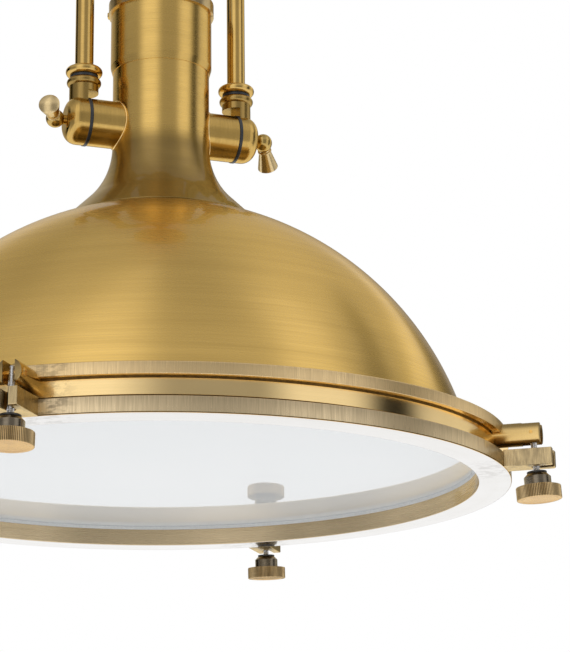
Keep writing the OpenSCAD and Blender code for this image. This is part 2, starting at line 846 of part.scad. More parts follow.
module holder_shell() {
    color(bright_tone) tube(thread_r + thread_wall, thread_r, shell_z, shell_z + thread_len);
}

module holder_contact() {
    low = shell_z + thread_len + contact_room;
    color(bright_tone) difference() {
        union() {
            translate([0, 0, low - 1]) cylinder(r = 6, h = 1);
            translate([0, 0, low - 3]) cylinder(r1 = 2.4, r2 = 4, h = 2);
        }
        translate([4, 0, low - 4]) cylinder(r = 0.8, h = 5);
    }
}

module rim_flange() {
    color(brass_tone) {
        tube(flange_r, foot_r - flange_inner - upstand_w, flange_z, flange_top_z);
        tube(upstand_r, upstand_r - upstand_w, flange_top_z, flange_top_z + upstand_h);
    }
}

module rim_band() {
    color(brass_tone) tube(band_r, band_r - band_wall, band_z, flange_z);
}

module glass_ring() {
    color(brass_tone) {
        tube(rim_r, opening_r, rim_z, band_z);
        tube(opening_r + lip_w, opening_r, band_z, lip_z);
    }
}

module glass() {
    color(glass_tone) translate([0, 0, glass_z]) cylinder(r = opening_r + glass_hold, h = glass_t);
}

module glass_seal() {
    outer = band_r - band_wall - run_gap;
    color(white_tone) difference() {
        tube(outer, opening_r, lip_z, flange_z);
        translate([0, 0, glass_z]) cylinder(r = opening_r + glass_hold, h = glass_t);
    }
}

// Children at clamp i, turned so that X runs out through the clamp
module at_clamp(i) {
    rotate([0, 0, clamp_turn + 90 * i]) children();
}

// Children in the frame of bolt i: its pin is the origin and the bolt runs down
module at_bolt(i) {
    at_clamp(i) translate([pin_x, 0, pin_z]) rotate([0, -bolt_lean, 0]) children();
}

// The side outline of a fork, with its lower outer edge rounded
module fork_outline() {
    length = rim_r + pin_out + fork_nose - band_r;
    translate([band_r, fork_round]) square([length, fork_h - fork_round]);
    translate([band_r, 0]) square([length - fork_round, fork_h]);
    translate([band_r + length - fork_round, fork_round]) circle(r = fork_round);
}

module ring_forks() {
    slot_start = pin_x + pin_h * tan(bolt_lean);
    color(brass_tone) for (i = [0:3]) {
        at_clamp(i) translate([0, 0, rim_z]) difference() {
            translate([0, fork_w / 2, 0]) rotate([90, 0, 0]) linear_extrude(fork_w) fork_outline();
            rotate([0, 0, -clamp_turn - 90 * i]) translate([0, 0, -over])
                cylinder(r = rim_r, h = fork_h + 2 * over);
            translate([slot_start, 0, -over]) cylinder(r = fork_slot, h = fork_h + 2 * over);
            translate([slot_start, -fork_slot, -over])
                cube([fork_nose + over, 2 * fork_slot, fork_h + 2 * over]);
        }
    }
}

module clevis_bars() {
    bar_end = pin_x + clevis_nose;
    color(brass_tone) for (i = [0:3]) {
        at_clamp(i) difference() {
            translate([band_r - over, 0, pin_z]) rotate([0, 90, 0]) union() {
                cylinder(r = clevis_r, h = bar_end - band_r + over - clevis_chamfer);
                translate([0, 0, bar_end - band_r + over - clevis_chamfer])
                    cylinder(r1 = clevis_r, r2 = clevis_r - clevis_chamfer, h = clevis_chamfer);
            }
            translate([0, 0, rim_z]) cylinder(r = band_r, h = flange_z - rim_z);
            translate([0, 0, flange_z]) cylinder(r = flange_r, h = flange_h + over);
            translate([pin_x - clevis_back, -clevis_slot, pin_z - clevis_r - over])
                cube([clevis_back + clevis_nose + over, 2 * clevis_slot, 2 * clevis_r + 2 * over]);
            translate([pin_x, 0, pin_z]) rotate([90, 0, 0]) {
                cylinder(r = pin_r, h = 2 * clevis_r + 2 * over, center = true);
                translate([0, 0, -clevis_r - over])
                    cylinder(r = pin_head_r + 0.2, h = over + pin_sink);
            }
        }
    }
}

module clevis_pins() {
    head_y = clevis_r - pin_sink;
    color(bright_tone) for (i = [0:3]) {
        at_clamp(i) translate([pin_x, 0, pin_z]) rotate([-90, 0, 0]) difference() {
            union() {
                translate([0, 0, -clevis_r]) cylinder(r = pin_r, h = clevis_r + head_y);
                translate([0, 0, head_y]) intersection() {
                    cylinder(r = pin_head_r, h = pin_head_h);
                    translate([0, 0, pin_head_h - 2 * pin_head_r]) sphere(r = 2 * pin_head_r);
                }
            }
            for (a = [0, 90]) {
                rotate([0, 0, a]) translate([-1.5, -0.25, head_y + pin_head_h - 0.7]) cube([3, 0.5, 1]);
            }
        }
    }
}

module swing_bolt(i) {
    color(steel_tone) at_bolt(i) difference() {
        translate([0, 0, -bolt_end]) cylinder(r = bolt_r, h = bolt_end + bolt_tip);
        rotate([90, 0, 0]) cylinder(r = pin_r + run_gap, h = 3 * bolt_r, center = true);
    }
}

module washer(i) {
    color(dark_tone) at_bolt(i) tube(washer_r, bolt_r + run_gap, -shank_d, -washer_d);
}

// The edge of the knurled disc: straight ridges all round
module ridged_circle() {
    polygon([for (k = [0:2 * ridges - 1])
        let (r = disc_r - (k % 2) * ridge_d, a = 180 * k / ridges) [r * cos(a), r * sin(a)]]);
}

module thumb_nut(i) {
    color(brass_tone) at_bolt(i) difference() {
        union() {
            translate([0, 0, -disc_d - disc_h]) linear_extrude(disc_h) ridged_circle();
            translate([0, 0, -disc_d]) cylinder(r = shank_r, h = shank_len - shank_chamfer);
            translate([0, 0, -shank_d - shank_chamfer])
                cylinder(r1 = shank_r, r2 = shank_r - shank_chamfer, h = shank_chamfer);
        }
        translate([0, 0, -shank_d - nut_hole]) cylinder(r = bolt_r + run_gap, h = nut_hole + over);
    }
}

// Children in the frame of a lever's ball: the handle runs up
module at_ball(side, turn) {
    on_side(side) translate([0, 0, pivot_z]) rotate([turn, 0, 0]) translate([ball_x, 0, 0])
        rotate([0, lever_lean, 0]) children();
}

// The clamping screw with its ball, which has a flat that the handle stands on
module lever(side, turn) {
    difference() {
        on_side(side) along_x() {
            translate([0, 0, screw_x]) cylinder(r = screw_r, h = ball_x - screw_x);
            translate([0, 0, ball_x]) sphere(r = ball_r);
        }
        at_ball(side, turn) translate([0, 0, ball_r * 0.8]) cylinder(r = ball_r, h = ball_r);
    }
}

// The tapered handle with its thin collar and a crowned end
module handle(side, turn) {
    crown = 2.2;
    crown_r = (lever_end_r * lever_end_r + crown * crown) / (2 * crown);
    at_ball(side, turn) {
        translate([0, 0, ball_r * 0.8]) cylinder(r = lever_root_r, h = ball_r * 0.2);
        translate([0, 0, ball_r]) cylinder(r = lever_root_r + 0.7, h = collar_h);
        translate([0, 0, ball_r + collar_h]) cylinder(r1 = lever_root_r, r2 = lever_end_r,
            h = lever_len - crown - ball_r - collar_h);
        translate([0, 0, lever_len - crown]) intersection() {
            cylinder(r = lever_end_r, h = crown);
            translate([0, 0, crown - crown_r]) sphere(r = crown_r);
        }
    }
}

module left_lever() {
    color(bright_tone) lever(-1, left_lever_turn);
}

module right_lever() {
    color(bright_tone) lever(1, right_lever_turn);
}

module left_handle() {
    color(bright_tone) handle(-1, left_lever_turn);
}

module right_handle() {
    color(bright_tone) handle(1, right_lever_turn);
}

ceiling_strap();
canopy();
canopy_screws();
terminal_block();
canopy_nipple();
nipple_nut();
stem_rings();
stem_tube();
yoke_hub();
crossbar();
left_elbow();
right_elbow();
left_rod();
right_rod();
left_lock_ring();
right_lock_ring();
rod_seals();
left_swivel_cap();
right_swivel_cap();
tilt_gaskets();
left_barrel();
right_barrel();
neck();
neck_sleeve();
neck_cap();
cap_screws();
cable_gland();
gland_nut();
neck_plate();
dome();
dome_plate();
plate_screws();
holder_tube();
holder_body();
holder_shell();
holder_contact();
rim_flange();
rim_band();
glass_ring();
ring_forks();
clevis_bars();
clevis_pins();
glass();
glass_seal();
swing_bolt(0);  // swing_bolt_1
swing_bolt(1);  // swing_bolt_2
swing_bolt(2);  // swing_bolt_3
swing_bolt(3);  // swing_bolt_4
washer(0);  // washer_1
washer(1);  // washer_2
washer(2);  // washer_3
washer(3);  // washer_4
thumb_nut(0);  // thumb_nut_1
thumb_nut(1);  // thumb_nut_2
thumb_nut(2);  // thumb_nut_3
thumb_nut(3);  // thumb_nut_4
left_lever();
right_lever();
left_handle();
right_handle();
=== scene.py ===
"""Looks of a brass pendant lamp with a domed shade and a clamped glass rim.

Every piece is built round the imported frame, in metres, with +Z up and X along the tilt axis.
"""

import json
import math

import bmesh
import bpy
import numpy as np
from mathutils import Matrix, Vector


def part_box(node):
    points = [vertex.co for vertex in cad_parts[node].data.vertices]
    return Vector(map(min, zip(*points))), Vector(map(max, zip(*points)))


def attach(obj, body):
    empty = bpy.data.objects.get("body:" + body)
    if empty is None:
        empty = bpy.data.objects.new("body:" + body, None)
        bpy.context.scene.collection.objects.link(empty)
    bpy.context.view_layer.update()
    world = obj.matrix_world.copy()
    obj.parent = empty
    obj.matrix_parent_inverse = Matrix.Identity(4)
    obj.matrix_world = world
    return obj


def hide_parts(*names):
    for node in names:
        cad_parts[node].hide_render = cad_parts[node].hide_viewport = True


bl_info = {
    "name": "Brass pendant lamp",
    "version": (1, 0, 0),
    "blender": (4, 5, 0),
    "location": "View3D > Sidebar > Pendant Lamp",
    "description": "Builds a domed brass pendant lamp with a clamped glass rim on its packed frame",
    "category": "Add Mesh",
}

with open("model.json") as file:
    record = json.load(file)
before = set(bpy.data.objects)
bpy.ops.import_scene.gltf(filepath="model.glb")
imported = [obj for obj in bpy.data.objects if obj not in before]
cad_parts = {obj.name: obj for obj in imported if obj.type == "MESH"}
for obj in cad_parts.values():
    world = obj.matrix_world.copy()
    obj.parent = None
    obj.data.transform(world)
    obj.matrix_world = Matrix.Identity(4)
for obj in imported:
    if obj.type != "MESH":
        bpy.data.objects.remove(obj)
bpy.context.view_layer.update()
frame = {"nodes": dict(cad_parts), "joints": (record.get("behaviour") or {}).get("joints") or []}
NODES = frame["nodes"]
JOINTS = {joint["name"]: joint for joint in frame["joints"]}
MM = 0.001
TURN = 2 * math.pi
CLAMPS = (1, 2, 3, 4)
SIDES = {"left": -1, "right": 1}
SMOOTH_BELOW = math.radians(35)


# Measures taken from the frame


def low(node):
    """Lowest corner of a node."""
    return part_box(node)[0]


def high(node):
    """Highest corner of a node."""
    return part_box(node)[1]


def points_of(node):
    """All vertices of a node as rows of x, y, z."""
    mesh = NODES[node].data
    points = np.zeros(len(mesh.vertices) * 3, np.float32)
    mesh.vertices.foreach_get("co", points)
    return points.reshape(-1, 3).astype(float)


def along(node, origin, axis):
    """Lowest and highest distance of a node along an axis through origin, and its widest radius about it."""
    axis = np.array(Vector(axis).normalized())
    offset = points_of(node) - np.array(origin)
    distance = offset @ axis
    radius = np.linalg.norm(offset - distance[:, None] * axis, axis=1)
    return distance.min(), distance.max(), radius.max()


PIVOT = Vector(JOINTS["shade_tilt"]["pos_m"])


def upright(x=0.0, y=0.0, z=0.0):
    """Places a turned piece with its axis along Z."""
    return Matrix.Translation((x, y, z))


def facing(origin, axis, side=None):
    """Places a turned piece with its own Z along axis, and its own Y along side where that is given."""
    up = Vector(axis).normalized()
    across = Vector(side).normalized() if side else up.orthogonal().normalized()
    out = across.cross(up)
    turned = Matrix((out, across, up)).transposed().to_4x4()
    return Matrix.Translation(origin) @ turned


def bolt_place(k):
    """The frame of swing bolt k: its pin is the origin, and the bolt hangs down its Z."""
    swing, slide = JOINTS[f"bolt_{k}_swing"], JOINTS[f"washer_{k}_slide"]
    return facing(swing["pos_m"], slide["axis"], -Vector(swing["axis"]))


# Surfaces from arrays


def arc(centre, radius, start, stop, steps):
    """Points at centre + radius (cos t, sin t), with t from start to stop in degrees."""
    t = np.radians(np.linspace(start, stop, steps))
    return np.array(centre) + radius * np.stack([np.cos(t), np.sin(t)], 1)


def rounded(corners, radius, steps=6):
    """A closed outline with an arc at each corner, tangent to both edges.

    The arc of radius r starts r / tan(half the corner's angle) before the corner.
    """
    corners = np.asarray(corners, float)
    radii = np.broadcast_to(np.asarray(radius, float), len(corners))
    outline = []
    for before, corner, after, r in zip(np.roll(corners, 1, 0), corners, np.roll(corners, -1, 0), radii):
        back, ahead = before - corner, after - corner
        reach = 0.45 * min(np.hypot(*back), np.hypot(*ahead))
        back, ahead = back / np.hypot(*back), ahead / np.hypot(*ahead)
        half = math.acos(np.clip(back @ ahead, -1, 1)) / 2
        if r <= 0 or half > math.pi / 2 - 0.02:
            outline.append(corner[None])
            continue
        reach = min(reach, r / math.tan(half))
        r = reach * math.tan(half)
        inward = (back + ahead) / np.hypot(*(back + ahead))
        centre = corner + inward * r / math.sin(half)
        first, last = corner + back * reach - centre, corner + ahead * reach - centre
        start = math.atan2(first[1], first[0])
        sweep = (math.atan2(last[1], last[0]) - start + math.pi) % TURN - math.pi
        t = start + sweep * np.linspace(0, 1, steps)
        outline.append(centre + r * np.stack([np.cos(t), np.sin(t)], 1))
    return np.concatenate(outline)


def surface(name, points, closed=(True, True), place=None, around=None, length=None):
    """A mesh over a grid of points, joined into quads, with doubled points at poles merged.

    Its UV map holds the turn round the piece, from 0 to 1, and the distance along its outline.
    """
    rows, columns = points.shape[:2]
    index = np.arange(rows * columns).reshape(rows, columns)
    u = np.linspace(0, 1, rows + 1)[: rows + closed[0]] if around is None else around
    v = np.arange(columns + closed[1]) * MM if length is None else length
    if closed[0]:
        index = np.vstack([index, index[:1]])
    if closed[1]:
        index = np.hstack([index, index[:, :1]])
    grid_u, grid_v = np.meshgrid(u, v, indexing="ij")

    def corners(grid):
        return np.stack([grid[:-1, :-1], grid[1:, :-1], grid[1:, 1:], grid[:-1, 1:]], -1)

    mesh = bpy.data.meshes.new(name)
    mesh.from_pydata(points.reshape(-1, 3).tolist(), [], corners(index).reshape(-1, 4).tolist())
    layer = mesh.uv_layers.new(name="turned")
    layer.data.foreach_set("uv", np.stack([corners(grid_u), corners(grid_v)], -1).astype(np.float32).ravel())
    work = bmesh.new()
    work.from_mesh(mesh)
    bmesh.ops.remove_doubles(work, verts=work.verts, dist=1e-7)
    bmesh.ops.dissolve_degenerate(work, dist=1e-8, edges=work.edges)
    bmesh.ops.recalc_face_normals(work, faces=work.faces)
    work.to_mesh(mesh)
    work.free()
    if place is not None:
        mesh.transform(place)
    return shown(name, mesh)


def shown(name, mesh):
    """A smooth-shaded object for a mesh, with creases kept sharp."""
    mesh.polygons.foreach_set("use_smooth", np.ones(len(mesh.polygons), bool))
    mesh.set_sharp_from_angle(angle=SMOOTH_BELOW)
    piece = bpy.data.objects.new(name, mesh)
    bpy.context.scene.collection.objects.link(piece)
    even = piece.modifiers.new("even_normals", "WEIGHTED_NORMAL")
    even.keep_sharp = True
    return piece


def revolve(name, outline, segments=192, place=None, ripple=None):
    """A turned solid: the outline's point (r, z) at angle a goes to (r cos a, r sin a, z).

    A ripple gives what is added to r at each angle and point.
    """
    angle = np.arange(segments) * TURN / segments
    r = np.repeat(outline[None, :, 0], segments, 0)
    z = np.repeat(outline[None, :, 1], segments, 0)
    if ripple is not None:
        r = r + ripple(angle[:, None], r, z)
    points = np.stack([r * np.cos(angle)[:, None], r * np.sin(angle)[:, None], z], -1)
    steps = np.hypot(*(np.roll(outline, -1, 0) - outline).T)
    length = np.concatenate([[0], np.cumsum(steps)])
    return surface(name, points, place=place, length=length)


def ring(outer, inner, bottom, top, edge, steps=6):
    """The outline of a plain ring with rounded edges."""
    return rounded([(inner, bottom), (outer, bottom), (outer, top), (inner, top)], edge, steps)


def bead(outer, inner, bottom, top, steps=16):
    """The outline of a ring with a half-round outer edge."""
    r = (top - bottom) / 2
    curve = arc((outer - r, bottom + r), r, -90, 90, steps)
    return np.vstack([[(inner, bottom)], curve, [(inner, top)]])


def dress(name, node, bevel=0.25 * MM, steps=2):
    """A merged copy of a node's own shape, with its sharp edges softened by a small bevel."""
    mesh = NODES[node].data.copy()
    mesh.name = name
    mesh.materials.clear()
    work = bmesh.new()
    work.from_mesh(mesh)
    bmesh.ops.remove_doubles(work, verts=work.verts, dist=1e-6)
    bmesh.ops.dissolve_limit(work, angle_limit=math.radians(0.4), verts=work.verts, edges=work.edges)
    work.to_mesh(mesh)
    work.free()
    piece = shown(name, mesh)
    if bevel:
        soften = piece.modifiers.new("soft_edges", "BEVEL")
        soften.width = bevel
        soften.segments = steps
        soften.limit_method = "ANGLE"
        soften.angle_limit = SMOOTH_BELOW
        soften.harden_normals = True
        piece.modifiers.move(1, 0)
    return piece


def put(piece, body, look, *nodes):
    """Hangs a finished piece on its body, in its material, in place of the nodes it stands for."""
    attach(piece, body)
    if nodes:
        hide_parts(*nodes)
    piece.data.materials.append(finish(look))
    return piece


# Shader arithmetic


class Signal:
    """One shader socket. Arithmetic on it adds Math nodes."""

    def __init__(self, graph, socket):
        self.graph = graph
        self.socket = socket

    def _math(self, operation, *values):
        sockets = dict(enumerate(values))
        return self.graph.add("ShaderNodeMath", {"operation": operation}, sockets)

    def __add__(self, other):
        return self._math("ADD", self, other)

    __radd__ = __add__

    def __mul__(self, other):
        return self._math("MULTIPLY", self, other)

    __rmul__ = __mul__

    def __sub__(self, other):
        return self._math("SUBTRACT", self, other)

    def __rsub__(self, other):
        return self._math("SUBTRACT", other, self)

    def __truediv__(self, other):
        return self._math("DIVIDE", self, other)

    def __pow__(self, other):
        return self._math("POWER", self, other)

    def __abs__(self):
        return self._math("ABSOLUTE", self)

    def cos(self):
        return self._math("COSINE", self)

    def sin(self):
        return self._math("SINE", self)

    def root(self):
        return self._math("SQRT", self)

    def angle_with(self, other):
        """The angle whose tangent is self / other."""
        return self._math("ARCTAN2", self, other)

    def smooth(self, start, stop):
        """0 below start and 1 above stop, with an eased step between them."""
        settings = {"interpolation_type": "SMOOTHSTEP"}
        sockets = {"Value": self, "From Min": start, "From Max": stop}
        return self.graph.add("ShaderNodeMapRange", settings, sockets)


class Graph:
    """The node tree of a material or of the world."""

    def __init__(self, owner):
        owner.use_nodes = True
        self.tree = owner.node_tree
        self.tree.nodes.clear()

    def add(self, kind, settings=None, sockets=None, output=0):
        """A node of any type: its settings first, then the values or links of its sockets."""
        node = self.tree.nodes.new(kind)
        for key, value in (settings or {}).items():
            if key == "stops":
                while len(node.color_ramp.elements) < len(value):
                    node.color_ramp.elements.new(0.5)
                for element, (position, color) in zip(node.color_ramp.elements, value):
                    element.position = position
                    element.color = (*color, 1.0)
            else:
                setattr(node, key, value)
        for key, value in (sockets or {}).items():
            self.feed(node.inputs[key], value)
        return Signal(self, node.outputs[output])

    def feed(self, socket, value):
        """Links a signal to a socket, or sets a plain value on it."""
        if isinstance(value, Signal):
            self.tree.links.new(value.socket, socket)
        elif socket.type == "RGBA":
            socket.default_value = (*value, 1.0)
        else:
            socket.default_value = value

    def split(self, vector):
        """The three parts of a vector."""
        first = self.add("ShaderNodeSeparateXYZ", None, {0: vector})
        return [first, Signal(self, first.socket.node.outputs[1]), Signal(self, first.socket.node.outputs[2])]

    def join(self, x, y, z):
        """A vector from its three parts."""
        return self.add("ShaderNodeCombineXYZ", None, {0: x, 1: y, 2: z})

    def noise(self, vector, scale=1.0, detail=2.0, roughness=0.5):
        """Noise from 0 to 1 round 0.5."""
        sockets = {"Vector": vector, "Scale": scale, "Detail": detail, "Roughness": roughness}
        return self.add("ShaderNodeTexNoise", None, sockets)

    def mix(self, factor, first, second):
        """A colour between two colours."""
        return self.add("ShaderNodeMix", {"data_type": "RGBA"}, {0: factor, 6: first, 7: second}, 2)

    def bump(self, height, strength, distance):
        """A normal bent by a height."""
        return self.add("ShaderNodeBump", None, {"Height": height, "Strength": strength, "Distance": distance})

    def object_point(self):
        return self.add("ShaderNodeTexCoord", output=3)

    def turned_point(self):
        """The turn round a piece, as an angle, and the distance along its outline, from its UV map."""
        u, v, _ = self.split(self.add("ShaderNodeUVMap", {"uv_map": "turned"}))
        return u * TURN, v

    def surface(self, shader, **sockets):
        """A surface of one shader, fed with values and signals by socket name."""
        out = self.tree.nodes.new("ShaderNodeOutputMaterial")
        made = self.add(shader, None, {key.replace("_", " "): value for key, value in sockets.items()})
        self.tree.links.new(made.socket, out.inputs[0])


# Finishes

GOLD = (0.785, 0.515, 0.15)
OLIVE = (0.585, 0.38, 0.105)
PALE = (0.82, 0.60, 0.30)
UMBER = (0.44, 0.30, 0.14)
finishes = {}


def finish(name):
    """The material of that name, made the first time that it is asked for."""
    if name not in finishes:
        material = bpy.data.materials.new(name)
        FINISH_MAKERS[name](Graph(material), bpy.context.scene.lamp_finish)
        finishes[name] = material
    return finishes[name]


def lathe_marks(graph, fine):
    """Brush marks round a turned piece: fine and slow noise along its outline, drawn out round it."""
    angle, distance = graph.turned_point()
    marks = graph.noise(graph.join(angle.cos() * 1.6, angle.sin() * 1.6, distance * fine), 1.0, 3.0, 0.65)
    streaks = graph.noise(graph.join(angle.cos() * 1.2, angle.sin() * 1.2, distance * 150), 1.0, 3.0, 0.6)
    return marks.smooth(0.25, 0.75) * 0.62 + streaks.smooth(0.3, 0.7) * 0.38


def cross_marks(graph, lines):
    """Brush marks across a turned piece: noise that is quick round it and slow along its outline."""
    angle, distance = graph.turned_point()
    spread = lines / TURN
    marks = graph.noise(graph.join(angle.cos() * spread, angle.sin() * spread, distance * 60), 1.0, 2.0, 0.6)
    return marks.smooth(0.2, 0.8)


def patina(graph, scale):
    """Slow clouds of patina over a piece."""
    return graph.noise(graph.object_point(), scale, 2.0, 0.5).smooth(0.3, 0.75)


def clamp_stains(graph):
    """Scratched dark patches beside the four clamps: blotchy noise, kept near each clamp's angle."""
    x, y, z = graph.split(graph.object_point())
    pin = JOINTS["bolt_1_swing"]["pos_m"]
    beside = ((y.angle_with(x) - math.atan2(pin[1], pin[0])) * 4).cos().smooth(0.84, 0.98)
    blotch = graph.noise(graph.join(x * 150, y * 150, z * 420), 1.0, 3.0, 0.65).smooth(0.42, 0.62)
    return beside * blotch


def brass(
    graph, marks, look, light, dark, rough, spread, bump, stretch=0.0, turn=0.25, coat=0.3, clouds=14.0, stain_and_shade=0.0,
    edge=(1.0, 0.84, 0.5), stain_and_shade_colour=None
):
    """Lacquered brass: two tones mixed by its marks and by patina, which also change its gloss."""
    cloud = patina(graph, clouds)
    tone = graph.mix(marks * 0.6 + cloud * 0.4, dark, light)
    graph.surface(
        "ShaderNodeBsdfPrincipled",
        # The stain mask and its colour carry real stains and, in some finishes, painted shade.
        Base_Color=graph.mix(stain_and_shade, tone, stain_and_shade_colour or look.tarnish_and_shade),
        Metallic=1.0,
        Roughness=rough + (1 - marks) * spread + stain_and_shade * 0.15,
        Specular_Tint=edge,
        Anisotropic=stretch,
        Anisotropic_Rotation=turn,
        Coat_Weight=coat,
        Coat_Roughness=look.lacquer_roughness,
        Normal=graph.bump(marks, bump, 0.02 * MM),
    )


def spun_brass(graph, look):
    """Spun brass, with painted shade darkening it towards the foot of the flare."""
    x, y, z = graph.split(graph.object_point())
    # Painted shade: darker from just below the tilt axis down to the foot of the flare.
    toned = 1 - z.smooth(PIVOT.z - 19 * MM, PIVOT.z - 5 * MM)
    toned = toned * (z.smooth(low("neck").z - 20 * MM, low("neck").z) * 0.72)
    flare_shade_colour = (0.14, 0.088, 0.024)
    brass(graph, lathe_marks(graph, 2600), look, look.gold, look.olive, 0.2, 0.1, 0.22, 0.7, stain_and_shade=toned, stain_and_shade_colour=flare_shade_colour)


def toned(graph, node, strength):
    """Darker towards a node's top."""
    x, y, z = graph.split(graph.object_point())
    bottom, top = low(node).z, high(node).z
    return z.smooth(bottom + (top - bottom) * 0.15, top) * strength


def rim_brass(graph, look):
    """The glass ring's outer face: grey-gold, brushed across, dull at its top."""
    marks = cross_marks(graph, 3000)
    stain_and_shade = clamp_stains(graph) * 0.45 + toned(graph, "ring_forks", 0.3) + (1 - marks) * 0.16
    light, dark = (0.92, 0.72, 0.44), (0.7, 0.55, 0.33)
    brass(graph, marks, look, light, dark, 0.25, 0.1, 0.45, 0.45, 0.0, 0.4, 30.0, stain_and_shade)


def flange_brass(graph, look):
    """The flange's outer face: gold, brushed across, dull at its top."""
    marks = cross_marks(graph, 2600)
    stain_and_shade = clamp_stains(graph) * 0.35 + toned(graph, "rim_flange", 0.26) + (1 - marks) * 0.14
    light, dark = (0.94, 0.69, 0.35), (0.74, 0.53, 0.27)
    brass(graph, marks, look, light, dark, 0.25, 0.1, 0.45, 0.45, 0.0, 0.4, 30.0, stain_and_shade)


def band_brass(graph, look):
    """The recessed band: smooth pale gold, polished round."""
    stain_and_shade = clamp_stains(graph) * 0.3
    light, dark = (0.94, 0.69, 0.32), (0.83, 0.6, 0.27)
    brass(graph, lathe_marks(graph, 3200), look, light, dark, 0.14, 0.06, 0.15, 0.8, 0.25, 0.5, 30.0, stain_and_shade)


def level_brass(graph, look):
    """The glass ring's level underside: pale and nearly mirror-like, with faint smears."""
    stain_and_shade = clamp_stains(graph) * 0.3
    light, dark = (0.66, 0.645, 0.625), (0.59, 0.565, 0.525)
    marks = lathe_marks(graph, 2400)
    brass(graph, marks, look, light, dark, 0.1, 0.06, 0.08, 0.0, 0.25, 0.6, 40.0, stain_and_shade, (1.0, 1.0, 1.0))


def inner_brass(graph, look):
    """The glass ring's inner wall: dull grey-brown."""
    light, dark = (0.68, 0.53, 0.32), (0.48, 0.37, 0.22)
    brass(graph, lathe_marks(graph, 2400), look, light, dark, 0.22, 0.1, 0.12, 0.5, 0.25, 0.6, 24.0)


def painted_shade_line(graph, look):
    """Painted shade in the rim's grooves and along its lower edge, broken up by patina noise."""
    marks = patina(graph, 260.0)
    brass(graph, marks, look, (0.15, 0.1, 0.04), (0.08, 0.052, 0.022), 0.36, 0.12, 0.1, coat=0.1)


def orange_line(graph, look):
    """Bare bright brass of the clevis pins, also used as a painted orange glint along the rim's lower edge."""
    marks = patina(graph, 300.0)
    brass(graph, marks, look, (0.84, 0.5, 0.14), (0.66, 0.38, 0.1), 0.2, 0.1, 0.1)


def tube_brass(graph, look):
    brass(graph, lathe_marks(graph, 3000), look, (0.69, 0.45, 0.135), (0.5, 0.32, 0.09), 0.15, 0.06, 0.1, 0.4)


def block_brass(graph, look):
    """Brass of the milled clamps: upright scratches, and grey tarnished patches."""
    x, y, z = graph.split(graph.object_point())
    scratches = graph.noise(graph.join(x * 2600, y * 2600, z * 140), 1.0, 2.0, 0.6).smooth(0.25, 0.75)
    light, dark = (0.66, 0.5, 0.26), (0.4, 0.3, 0.16)
    patches = graph.noise(graph.join(x * 130, y * 130, z * 50), 1.0, 3.0, 0.6).smooth(0.42, 0.68) * 0.5
    brass(graph, scratches, look, light, dark, 0.22, 0.1, 0.2, clouds=60.0, stain_and_shade=patches)


def bar_brass(graph, look):
    """Brass of the clevis bars: marks turned round each bar, painted shade on its top and underside, and dull on its
    end.
    """
    x, y, z = graph.split(graph.object_point())
    reach = (x * x + y * y).root()
    turned = graph.noise(graph.join(reach * 2600, 0.0, 0.0), 1.0, 3.0, 0.6).smooth(0.25, 0.75)
    end = points_of("clevis_bars")
    end = float(np.hypot(end[:, 0], end[:, 1]).max())
    dull = reach.smooth(end - 1.2 * MM, end - 0.1 * MM) * 0.55
    pin = JOINTS["bolt_1_swing"]["pos_m"][2]
    # Painted shade: darker on the bar's top and underside, towards a near-black brown.
    shade = z.smooth(pin - 1.5 * MM, pin + 6 * MM) * 0.62 + (1 - z.smooth(pin - 7 * MM, pin - 3.5 * MM)) * 0.75
    light, dark = (0.78, 0.54, 0.21), (0.62, 0.42, 0.155)
    brass(
        graph, turned, look, light, dark, 0.15, 0.08, 0.05, clouds=60.0, stain_and_shade=shade + dull * (1 - shade),
        stain_and_shade_colour=(0.07, 0.048, 0.02),
    )


def swivel_brass(graph, look):
    """Brass of the tilt joint's swivel caps and barrels: fine marks turned round the tilt axis, with painted shade
    darkening it on top.
    """
    x, y, z = graph.split(graph.object_point())
    turned = graph.noise(graph.join(x * 3600, y * 90, z * 90), 1.0, 3.0, 0.6).smooth(0.25, 0.75)
    # Painted shade: darker above the tilt axis, towards a dark brown.
    top = z.smooth(PIVOT.z + 4 * MM, PIVOT.z + 13 * MM) * 0.4
    light, dark = (0.68, 0.44, 0.125), (0.46, 0.29, 0.075)
    brass(graph, turned, look, light, dark, 0.17, 0.08, 0.08, clouds=40.0, stain_and_shade=top, stain_and_shade_colour=(0.1, 0.062, 0.02))


def polished_brass(graph, look):
    marks = graph.noise(graph.object_point(), 900.0, 3.0, 0.6).smooth(0.3, 0.7)
    brass(graph, marks, look, look.gold, look.olive, 0.12, 0.06, 0.04, clouds=80.0)


def lever_brass(graph, look):
    """Darker polished brass of the levers' balls."""
    marks = graph.noise(graph.object_point(), 900.0, 3.0, 0.6).smooth(0.3, 0.7)
    brass(graph, marks, look, (0.56, 0.385, 0.12), (0.4, 0.265, 0.075), 0.14, 0.06, 0.04, clouds=80.0)


def handle_brass(graph, look):
    """Pale brass of the lever handles."""
    marks = graph.noise(graph.object_point(), 900.0, 3.0, 0.6).smooth(0.3, 0.7)
    brass(graph, marks, look, (0.74, 0.57, 0.3), (0.62, 0.46, 0.23), 0.2, 0.08, 0.04, clouds=80.0)


def knurled_brass(graph, look):
    """The thumb nut's ridged edge: dark in the grooves."""
    angle, distance = graph.turned_point()
    groove = (angle * bpy.context.scene.lamp_sizes.ridges).cos().smooth(-0.3, 0.9)
    brass(graph, lathe_marks(graph, 5200), look, look.pale, look.umber, 0.24, 0.14, 0.2, stain_and_shade=groove * 0.85)


def nut_face(graph, look):
    """The thumb nut's turned underside: orange-brown rings."""
    marks = lathe_marks(graph, 3800)
    brass(graph, marks, look, (0.66, 0.44, 0.25), (0.5, 0.32, 0.17), 0.2, 0.1, 0.2, 0.6, 0.25)


